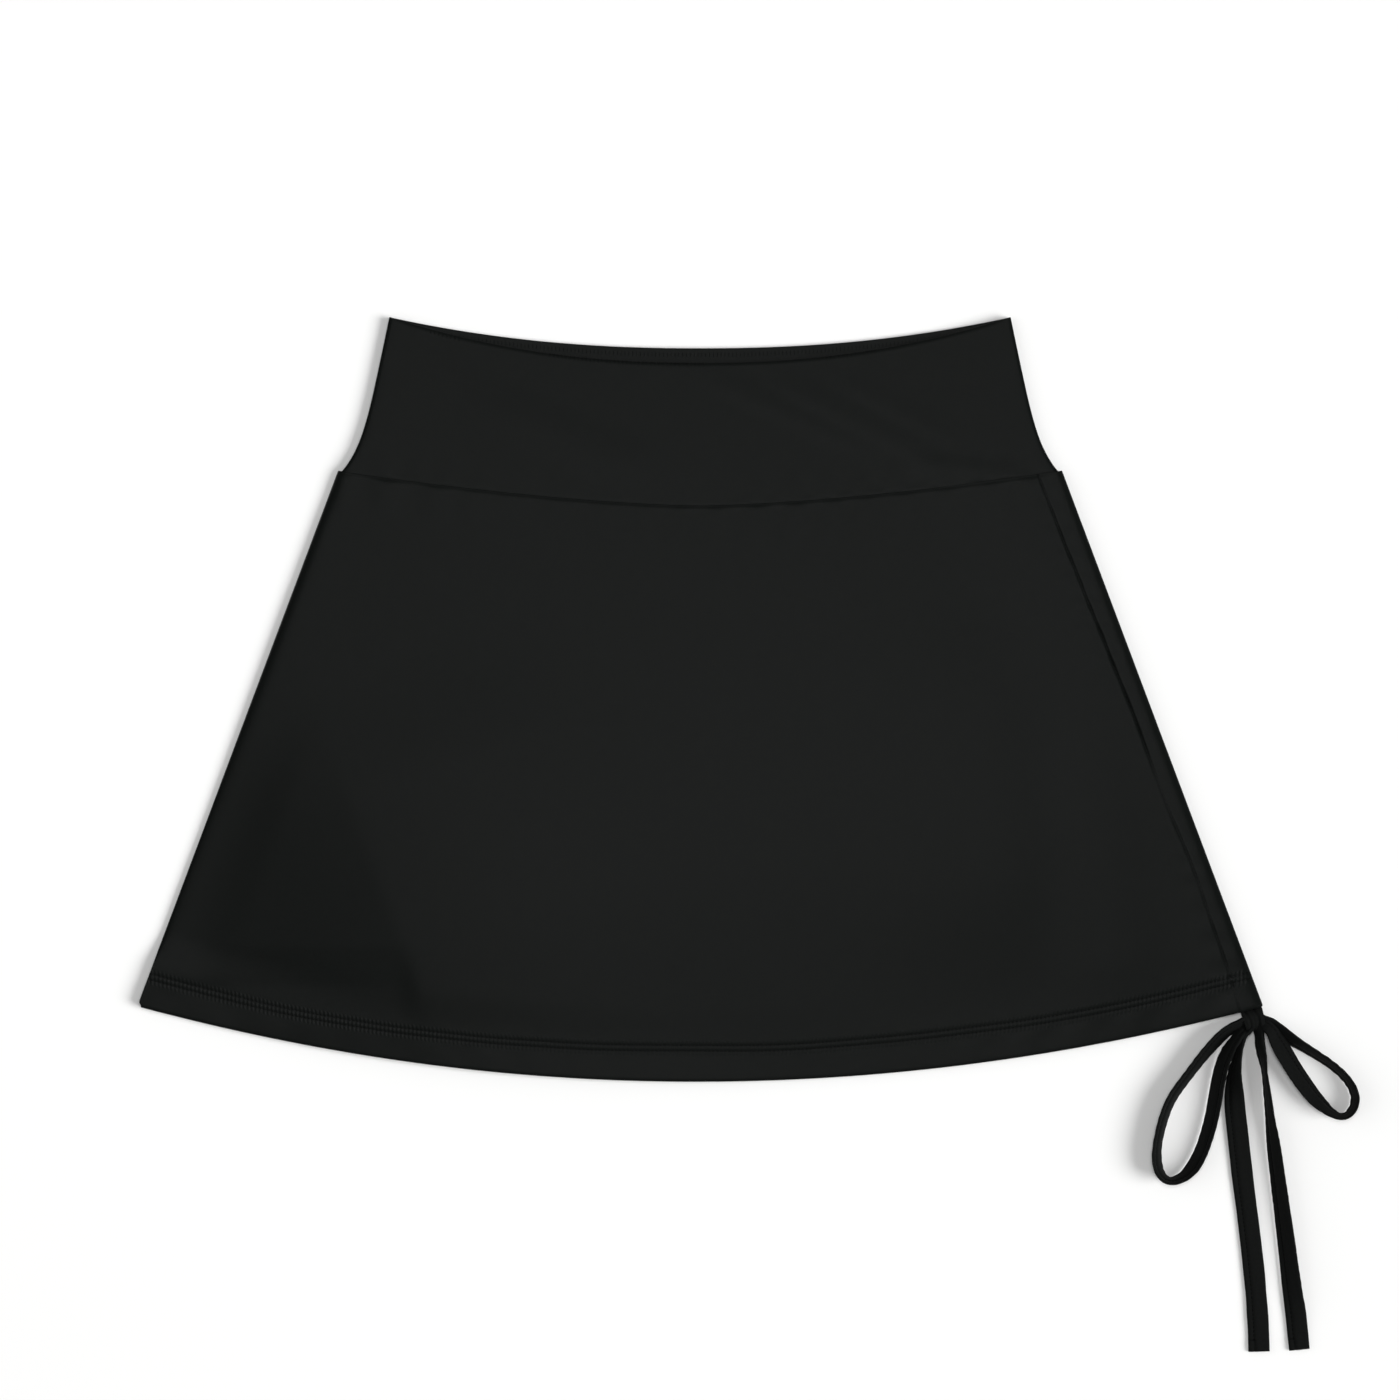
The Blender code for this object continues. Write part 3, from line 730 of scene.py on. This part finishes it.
def make_knot():
    """The drawcord wrapped once round the roots of the loops: a pleated band, turned in at both sides."""
    half_wide, deep, tall, wall = 0.0054, 0.0065, 0.0036, 0.0014
    across, around = 72, 56  # its section's sides, and its steps round the loops' roots
    into_mouth, under_hem = 0.0015, 0.0012  # how far it is pulled into the channel, and dips under the hem
    centre = Vector((KNOT_CENTRE[0], KNOT_CENTRE[1] + into_mouth, tall + GAP))

    def place(i, j):
        turn = 2 * math.pi * j / around
        part = 2 * math.pi * i / across
        a = math.cos(part)
        bulge = math.copysign(abs(math.sin(part)) ** 0.6, math.sin(part))
        drift = 0.07 * math.sin(2 * turn + 0.7) + 0.05 * math.sin(3 * turn)
        pleat = 0.001 * read_off(PLEATS, a + drift) * max(bulge, 0) * (0.8 + 0.2 * math.sin(3 * turn + 1 + a))
        out = wall / 2 * bulge + pleat - wall / 2
        waist = 1 - 0.10 * (1 - a * a)
        x = half_wide * a * (1 + 0.05 * math.sin(2 * turn))
        drawn_down = 0.0012 * smooth((a - 0.2) / 0.6) * max(-math.cos(turn), 0)
        y = (deep * waist + out) * math.cos(turn) - drawn_down
        z = (tall * waist + out) * math.sin(turn) - under_hem * max(math.cos(turn), 0) ** 2
        return Vector((x, y, z)), {"cut": (i / across * 0.024, turn * 0.0045)}

    shape = grid_of(across, around, place)
    bmesh.ops.remove_doubles(shape, verts=shape.verts[:], dist=1e-6)
    bmesh.ops.recalc_face_normals(shape, faces=shape.faces[:])
    bmesh.ops.rotate(shape, verts=shape.verts[:], matrix=Matrix.Rotation(KNOT_TURN, 3, "Z"))
    bmesh.ops.translate(shape, verts=shape.verts[:], vec=centre)
    knot = add_mesh("knot_wrap", shape, tie_knit)
    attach(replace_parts(knot, "tie_knot"), "root")
    return knot


# ---- Outline and heights -----------------------------------------------------------------------------------
def dipped(side_y, dip, across, power):
    """An edge that is at side_y at both sides and dips towards the middle; across runs from -1 to 1."""
    return side_y - dip * (1 - abs(across) ** power)


def seam_y(x):
    """The waist seam."""
    return dipped(SEAM_SIDE_Y, SEAM_DIP, min(abs(x) / SKIRT_TOP_HALF, 1), SEAM_POWER)


def hem_y(across):
    """The hem's edge; across runs from -1 to 1."""
    return HEM_SIDE_Y - HEM_DROP * (1 - across * across)


def band_half(down):
    """The waistband's half width, down from 0 at its top to 1 at the seam."""
    return WAIST_HALF + BAND_FLARE * mix(down, down**6, FLARE_LATE)


def skirt_half(y):
    """The skirt's half width at the side seam's height y."""
    return mix(SKIRT_TOP_HALF, SKIRT_HEM_HALF, (SEAM_SIDE_Y - y) / (SEAM_SIDE_Y - HEM_SIDE_Y))


def tunnel(inside):
    """The rise of the channel over the drawcord, for a distance inside the side seam at +X: a flat strip."""
    share = min(max(inside / CHANNEL, 0.0), 0.5)
    return (TUNNEL_RISE + CHANNEL_LIFT) * math.sin(math.pi * share) ** 0.28


def rolled(share):
    """The rise of a panel in from its side seam: 0 at the seam, and 1 past the roll of the seam."""
    return math.sin(min(max(share, 0), 1) * math.pi / 2) ** 0.3


def ridge(x, y, fold):
    """The height at x, y of a low ridge along a straight line, which fades out at its ends. A sharp one falls
    off at once on its left, and grows towards its foot."""
    top = Vector(fold["top"])
    along = Vector(fold["foot"]) - top
    here = Vector((x, y)) - top
    share = here.dot(along) / along.length_squared
    off = along.cross(here) / along.length
    across = abs(off) / mix(*fold["right" if off > 0 else "left"], min(max(share, 0), 1))
    if "past" in fold and off < 0:
        across /= 1 + WIDER_PAST_FOOT * smooth((share - 1) / 0.2)
    fade = fold.get("fade", FOLD_FADE)
    start, end = smooth(share / fade), smooth((fold.get("past", FOLD_PAST) - share) / fade)
    height = fold["height"] * start * end
    if "sharp" in fold:
        height *= mix(0.45, 1.0, smooth(share))
        fall = mix(1.0, 1.3, smooth(share))
        return height * (max(1 - across, 0) ** fall if off < 0 else smooth(1 - across))
    return height * smooth(1 - across)


def shorts_half(y):
    """How far the shorts reach from the middle at height y."""
    if y > SHORTS_HIP_Y:
        down = smooth((y - SHORTS_HIP_Y) / (SEAM_SIDE_Y - SHORTS_HIP_Y))
        return mix(SHORTS_HIP_HALF, SHORTS_WAIST_HALF, down)
    return mix(SHORTS_HIP_HALF, SHORTS_LEG_HALF, smooth((SHORTS_HIP_Y - y) / (SHORTS_HIP_Y - SHORTS_LEG_Y)))


def front_support(x, y):
    """What the front lies on away from its edges: the shorts, or the back outside them."""
    outside = -x - shorts_half(y) - VALLEY_START
    low_down = smooth((VALLEY_TOP_Y - y) / VALLEY_TOP_RUN)
    return mix(FRONT_Z, VALLEY_Z, smooth(outside / VALLEY_RUN) * low_down)


def front_underside(x, y, from_left, from_right, above_hem):
    """The height of the front skirt's underside."""
    level = mix(SIDE_Z, front_support(x, y), rolled(from_left / SIDE_ROLL))
    beside_channel = smooth((from_right - CHANNEL) / BESIDE_CHANNEL)
    strip = CHANNEL_Z + tunnel(from_right)
    level = mix(strip, level, beside_channel)
    clear_of_sides = smooth((from_left - SIDE_ROLL) / EASE) * beside_channel
    rise_in = smooth((above_hem - RISE_FROM) / (RISE_HIGHEST - RISE_FROM))
    rise_out = 1 - smooth((above_hem - RISE_HIGHEST) / (RISE_TO - RISE_HIGHEST))
    rise = RISE * rise_in * rise_out * smooth((x - RISE_LEFT_X) / RISE_RUN)
    loft = sum(ridge(x, y, fold) for fold in FOLDS) * clear_of_sides
    hem_level = mix(strip, FRONT_Z, beside_channel) + FOLD_IN_HEM * loft
    hem_share = smooth((HEM_TURN + HEM_EASE - above_hem) / HEM_EASE)
    return mix(level + loft + rise * clear_of_sides, hem_level, hem_share)


# ---- Skirt -------------------------------------------------------------------------------------------------
SIDE_LEAN = math.cos(math.atan((SKIRT_HEM_HALF - SKIRT_TOP_HALF) / (SEAM_SIDE_Y - HEM_SIDE_Y)))
LEFT_STEPS = (0.0, 0.0006, 0.0015, 0.0027, 0.0042, 0.0060, 0.0085, 0.0120, 0.0160)
CHANNEL_STEPS = (0.0, 0.0002, 0.0005, 0.0009, 0.0015, 0.0024, 0.0036, 0.0050, 0.0062)
LINE_STEPS = spread(0.0070, 0.0130, 18)
RIGHT_STEPS = [*CHANNEL_STEPS, *LINE_STEPS, 0.0142, 0.0160, 0.0185, 0.0215]
MIDDLE_COLUMNS = 128
SEAM_STEPS = (-0.0008, -0.0003, 0.0002, 0.0008, 0.0015, 0.0025, 0.0038, 0.0052)  # the first are sewn in
EDGE_STEPS = (0.0106, 0.0090, 0.0070, 0.0050, 0.0032, 0.0018, 0.0007)
HEM_STEPS = [*spread(0.0400, 0.0225, 7), *spread(0.0208, 0.0118, 18), *EDGE_STEPS]
CORNER, CORNER_TALL = 0.0045, 0.0030  # the rounding of the hem's free corner
MIDDLE_ROWS = 112
TURN_STEPS = 8
FAR = 1.0  # further from a seam than its stitching reaches
UP_STEPS = (0.003, 0.008, 0.0135, HEM_TURN)


def skirt_columns(half, y_side):
    """Where a skirt panel's columns lie across it, at the side seam's height y_side. The hem's free corner is
    rounded; the other holds the channel's mouth."""
    below = 1 - min((y_side - HEM_SIDE_Y) / CORNER_TALL, 1)
    corner = CORNER * (1 - math.sqrt(1 - below * below))
    left = [step / SIDE_LEAN - half + corner for step in LEFT_STEPS]
    right = [half - step / SIDE_LEAN for step in reversed(RIGHT_STEPS)]
    return left[:-1] + spread(left[-1], right[0], MIDDLE_COLUMNS) + right[1:]


def row_heights(seam, hem):
    """Each row's y down a column, from the waist seam to just above the hem's edge."""
    upper = [seam - GAP / 2 - step for step in SEAM_STEPS]
    lower = [hem + step for step in HEM_STEPS]
    return upper[:-1] + spread(upper[-1], lower[0], MIDDLE_ROWS) + lower[1:]


def skirt_panel(name, underside, inward, replaced):
    """A skirt panel with its hem turned to the inside. underside(x, y, from_left, from_right, above_hem,
    below_seam) is the height of the outer layer's underside; inward is 1 where the hem is turned up, -1 where
    it is turned down."""
    side_rows = row_heights(SEAM_SIDE_Y, HEM_SIDE_Y)
    column_sets = [skirt_columns(skirt_half(y), y) for y in side_rows]
    columns = len(column_sets[0]) - 1
    last = len(side_rows) - 1
    rows = last + TURN_STEPS + len(UP_STEPS)
    radius = LAYER / 2
    wall_in = inward * (CLOTH - SHELL) / 2

    def outer_layer(y_side, across, below_seam, above_hem, y):
        half = skirt_half(y_side)
        x = across * half
        from_left, from_right = (half + x) * SIDE_LEAN, (half - x) * SIDE_LEAN
        height = underside(x, y, from_left, from_right, above_hem, below_seam)
        spot = Vector((x, y, height + CLOTH / 2 - wall_in))
        off_line = from_right - read_off(CHANNEL_LINE, y_side) if inward < 0 else FAR
        maps = {"cut": (x, y), "hem": (x, above_hem - read_off(HEM_LINE, x)), "side": (y_side, off_line)}
        return spot, maps

    def place(i, j):
        row = min(j, last)
        half = skirt_half(side_rows[row])
        across = column_sets[row][i] / half
        seam, hem = seam_y(across * SKIRT_TOP_HALF), hem_y(across)
        heights = row_heights(seam, hem)
        if j <= last:
            y = heights[j]
            return outer_layer(side_rows[j], across, seam - y, y - hem, y)
        if j <= last + TURN_STEPS:
            bend = (j - last) / TURN_STEPS * math.pi
            spot, maps = outer_layer(side_rows[last], across, FAR, heights[last] - hem, heights[last])
            spot = spot + radius * Vector((0, -math.sin(bend), inward * (1 - math.cos(bend))))
            maps = {**maps, "cut": (maps["cut"][0], maps["cut"][1] - radius * bend)}
            return spot, maps
        back_up = UP_STEPS[j - last - TURN_STEPS - 1]
        y = heights[last] + back_up
        y_side = side_rows[last] + back_up
        spot, maps = outer_layer(y_side, column_at(y_side, i), FAR, y - hem, y)
        spot = spot + Vector((0, 0, inward * 2 * radius))
        return spot, {**maps, "cut": (maps["cut"][0], HEM_SIDE_Y * 2 - y)}

    def column_at(y_side, i):
        half = skirt_half(y_side)
        return skirt_columns(half, y_side)[i] / half

    piece = add_mesh(name, grid_of(columns, rows, place), skirt_knit)
    thicken(piece, SHELL, EDGE_ROUND, even=False)
    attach(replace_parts(piece, replaced), "root")
    return piece


def near_line(distance, width):
    """1 on a line, fading to 0 over width on both sides."""
    return math.exp(-((distance / width) ** 2))


TUCK, TUCK_RUN = 0.00022, 0.0013  # how deep the waist seam is drawn in, and over what height
GATHER, LINE_DENT, LINE_HALF = 0.00022, 0.0005, 0.0006
ROW_HALF = 0.0007  # of a hem row's dent


def hem_press(x, above_hem):
    """How much the hem's two rows press a point in: 1 on a row."""
    above_line = above_hem - read_off(HEM_LINE, x)
    return sum(near_line(above_line - row, ROW_HALF) for row in HEM_ROWS)


def front_relief(x, y, from_left, from_right, above_hem, below_seam):
    """What the stitching does to the front: pulled in at the seams, gathered a little along them."""
    off_sides = smooth((min(from_left, from_right) - 0.004) / 0.012)
    tuck = TUCK * (1 - smooth(below_seam / TUCK_RUN)) * mix(0.3, 1.0, off_sides)
    gather_out = 1 - smooth((below_seam - 0.004) / 0.022)
    gather = GATHER * ripple(x, 0.021, 3) * smooth(below_seam / 0.003) * gather_out
    strength = min(max(0.60 + 0.6 * uneven(y, 0.034, 5), 0.2), 1.0)
    past_line = from_right - read_off(CHANNEL_LINE, y)
    strength *= mix(0.35, 1.0, smooth((above_hem - 0.006) / 0.020))
    line = LINE_DENT * strength * near_line(past_line, LINE_HALF)
    pull = ripple(y, 0.0135, 6)
    inner = 0.00016 * pull * smooth(past_line / 0.0015) * (1 - smooth((past_line - 0.002) / 0.010))
    strip = 0.00014 * pull * smooth(-past_line / 0.0015) * smooth(from_right / 0.004)
    press = hem_press(x, above_hem)
    cover = 0.00014 * press + 0.00008 * press * ripple(x, 0.0085, 8)
    wave = 0.00016 * ripple(x, 0.030, 9) * smooth((0.013 - above_hem) / 0.006)
    return gather + inner + strip + wave - tuck - line - cover


def front_skirt_underside(x, y, from_left, from_right, above_hem, below_seam):
    """The front's fall and folds, with what its stitching does to it."""
    level = front_underside(x, y, from_left, from_right, above_hem)
    return level + front_relief(x, y, from_left, from_right, above_hem, below_seam)


def back_skirt_underside(x, y, from_left, from_right, above_hem, below_seam):
    """The back lies flat, but for its hem's rows and the waist seam, which lift it a little."""
    return 0.00016 * hem_press(x, above_hem) + 0.0005 * (1 - smooth(below_seam / 0.0035))


# ---- Waistband ---------------------------------------------------------------------------------------------
BAND_SIDE_STEPS = (0.0, 0.0008, 0.0018, 0.0032, 0.0052, 0.0080, 0.0120)
BAND_MIDDLE = 128
BAND_TOP_SHARES = (0.0, 0.006, 0.014, 0.026, 0.042, 0.064, 0.094)
BAND_ROWS = 34
DRAG_LINES = [
    fold((-0.010, 0.172), (0.074, 0.134), 0.00020, left=(0.007, 0.007), right=(0.012, 0.012)),
    fold((0.026, 0.171), (0.110, 0.128), 0.00024, left=(0.006, 0.006), right=(0.013, 0.013)),
    fold((0.062, 0.170), (0.124, 0.138), 0.00016, left=(0.006, 0.006), right=(0.011, 0.011)),
    fold((-0.130, 0.160), (-0.040, 0.122), 0.00035, left=(0.016, 0.016), right=(0.020, 0.020)),
    fold((0.100, 0.122), (0.160, 0.116), 0.00030, left=(0.006, 0.006), right=(0.010, 0.010)),
]
BAND_TUCK, BAND_GATHER, BAND_DROP = 0.0001, 0.00018, 0.0003


def band_columns(half):
    """Where a band's columns lie across it, close together at its sides."""
    sides = [half - step for step in BAND_SIDE_STEPS]
    return [-x for x in sides[:-1]] + spread(-sides[-1], sides[-1], BAND_MIDDLE) + sides[-2::-1]


def band_shares():
    """The rows' shares down a band, close together at its top edge and its seam."""
    lower = [1 - share for share in reversed(BAND_TOP_SHARES)]
    return list(BAND_TOP_SHARES[:-1]) + spread(BAND_TOP_SHARES[-1], lower[0], BAND_ROWS) + lower[1:]


def band_panel(name, dip, lift, replaced):
    """One face of the waistband. lift(x, y, inside, from_top, above_seam) is the height of its underside."""
    shares = band_shares()

    def place(i, j):
        down = shares[j]
        half = band_half(down)
        x = band_columns(half)[i]
        top = dipped(CORNER_TOP_Y, dip, x / half, TOP_EDGE_POWER)
        bottom = seam_y(x) + GAP / 2
        y = mix(top, bottom, down)
        height = lift(x, y, half - abs(x), top - y, y - bottom) + BAND_CLOTH / 2
        return Vector((x, y, height)), {"cut": (x, y)}

    piece = add_mesh(name, grid_of(len(band_columns(WAIST_HALF)) - 1, len(shares) - 1, place), band_knit)
    thicken(piece, BAND_CLOTH, BAND_EDGE_ROUND, segments=3)
    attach(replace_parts(piece, replaced), "root")
    return piece


def band_tuck(inside, above_seam):
    """How far the waist seam draws a band in."""
    return BAND_TUCK * (1 - smooth(above_seam / TUCK_RUN)) * mix(0.35, 1.0, smooth((inside - 0.004) / 0.012))


def back_band_lift(x, y, inside, from_top, above_seam):
    """The back lies flat on the surface."""
    return 0.0


def front_band_lift(x, y, inside, from_top, above_seam):
    """The front lies on the back, with faint drag lines, and dips at its turned top edge."""
    level = BAND_FRONT_Z + BAND_LOFT * rolled(inside / SIDE_ROLL)
    drag = sum(ridge(x, y, line) for line in DRAG_LINES)
    edge = 0.00010 * ripple(x, 0.024, 12) * (1 - smooth(from_top / 0.010)) * smooth(inside / 0.01)
    gather_out = 1 - smooth((above_seam - 0.003) / 0.016)
    gather = BAND_GATHER * ripple(x, 0.019, 13) * gather_out * smooth(above_seam / 0.003)
    drop = BAND_DROP * (1 - smooth(from_top / 0.0010)) * smooth(inside / 0.01)
    return level + drag + edge + gather - drop - band_tuck(inside, above_seam)


# ---- Stitching ---------------------------------------------------------------------------------------------
CLEAR = 0.05  # further off than any piece lies
FRONT_TICKS = ((-0.078, 0.002), (0.066, 0.092), (-0.14, -0.125))  # where ticks show over the front's top edge
TICK_PITCH, FRONT_TICK_PITCH = 0.0020, 0.0021


def on_top(tree, x, y, sink):
    """The point of a surface above x, y, sunk a little, and the way the surface faces."""
    place, normal, _, _ = tree.ray_cast(Vector((x, y, CLEAR)), -UP)
    return (place - normal * sink, normal) if place else (None, None)


def hem_stitches(name, piece, face_up):
    """The hem's two rows, on a panel's upper face or on its lower one."""
    tree = surface_of(piece)
    start, way, sink = (CLEAR, -1, 0.00004) if face_up else (-CLEAR, 1, 0.0002)
    places = []
    for row in HEM_ROWS:
        half = skirt_half(HEM_SIDE_Y + HEM_LINE[0][1])
        count = round(2 * half / STITCH)
        for k in range(1, count):
            x = mix(-half, half, k / count)
            y = hem_y(x / half) + read_off(HEM_LINE, x) + row
            slope = Vector((1.0, HEM_DROP * 2 * x / half / half, 0))
            spot, normal, _, _ = tree.ray_cast(Vector((x, y, start)), Vector((0, 0, way)))
            if spot is None:
                continue
            along = (slope - normal * slope.dot(normal)).normalized()
            places.append((spot - normal * sink, along, normal))
    rows = stitches(name, places, HEM_BEAD, skirt_thread)
    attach(rows, "root")
    return rows


def channel_stitches(piece):
    """The channel's line of stitches, from the waist seam down to the hem's edge."""
    tree = surface_of(piece)
    places = []
    along_side = Vector(((SKIRT_HEM_HALF - SKIRT_TOP_HALF) / (SEAM_SIDE_Y - HEM_SIDE_Y), -1, 0))
    y = SEAM_SIDE_Y - 0.004
    while y > HEM_SIDE_Y + 0.001:
        x = skirt_half(y) - read_off(CHANNEL_LINE, y) / SIDE_LEAN
        spot, normal = on_top(tree, x, y, 0.00012)
        if spot is not None:
            places.append((spot, along_side - normal * along_side.dot(normal), normal))
        y -= CHANNEL_STITCH * SIDE_LEAN
    rows = stitches("channel_stitches", places, CHANNEL_BEAD, skirt_thread)
    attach(rows, "root")
    return rows


def waist_edge_stitches(back, front):
    """The overcast ticks inside the back's top edge, and a few that show over the front's."""
    tree = surface_of(back)
    places = []
    count = round(2 * WAIST_HALF / TICK_PITCH)
    for k in range(3, count - 2):
        x = mix(-WAIST_HALF, WAIST_HALF, k / count)
        y = dipped(CORNER_TOP_Y, BACK_DIP, x / WAIST_HALF, TOP_EDGE_POWER) - 0.0034
        spot, normal = on_top(tree, x, y, 0.00005)
        if spot is not None and normal.z > 0.5:
            places.append((spot, Vector((0, 1, 0)), normal))
    tree = surface_of(front)
    for start, end in FRONT_TICKS:
        x = start
        while x < end:
            y = dipped(CORNER_TOP_Y, FRONT_DIP, x / WAIST_HALF, TOP_EDGE_POWER) - 0.0010
            spot, normal = on_top(tree, x, y, 0.00008)
            if spot is not None:
                along = Vector((0, 1, 0)) - normal * normal.y
                places.append((spot, along, normal))
            x += FRONT_TICK_PITCH
    rows = stitches("waist_edge_stitches", places, TICK, skirt_thread)
    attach(rows, "root")
    return rows


# ---- The garment -------------------------------------------------------------------------------------------
def plain_knit(name, colour):
    """The same jersey on Object coordinates, for the solids, which have no cut to follow."""
    material, tree, shader = new_material(name)
    place = add_node(tree, "TexCoord").outputs["Object"]
    across, up, _ = add_node(tree, "SeparateXYZ", Vector=place).outputs
    fine = add_node(tree, "TexNoise", Vector=place, Scale=700.0, Detail=2.0).outputs["Fac"]
    dye(tree, shader, colour, between(tree, fine, 0.3, 0.7, 0.88, 1.12))
    height = jersey_loops(tree, across, up)
    finish_knit(tree, shader, fine, height, roughness=0.55, relief=0.21, gloss=0.08)
    return material


def plain_nodes():
    """The hidden pieces keep their solids, in a plain jersey."""
    finishes = (
        ("shorts", "shorts_lining_knit", (0.0045, 0.0048, 0.0046)),
        ("channel_casing", "casing_knit", SKIRT_COLOUR),
        ("drawcord_run", "drawcord_knit", (0.0030, 0.0033, 0.0032)),
    )
    for start, finish, colour in finishes:
        material = plain_knit(finish, colour)
        for name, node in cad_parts.items():
            if name.startswith(start):
                for slot in node.material_slots:
                    slot.material = material


add_camera()
light_and_floor()
make_bow(make_knot())

back_band = band_panel("waistband_back_cloth", BACK_DIP, back_band_lift, "waistband_back")
front_band = band_panel("waistband_front_cloth", FRONT_DIP, front_band_lift, "waistband_front")
back_skirt = skirt_panel("skirt_back_cloth", back_skirt_underside, 1, "skirt_back")
front_skirt = skirt_panel("skirt_front_cloth", front_skirt_underside, -1, "skirt_front")
bpy.context.view_layer.update()
hem_front = hem_stitches("hem_stitches_front", front_skirt, True)
hem_back = hem_stitches("hem_stitches_back", back_skirt, False)
channel_rows = channel_stitches(front_skirt)
waist_rows = waist_edge_stitches(back_band, front_band)
plain_nodes()
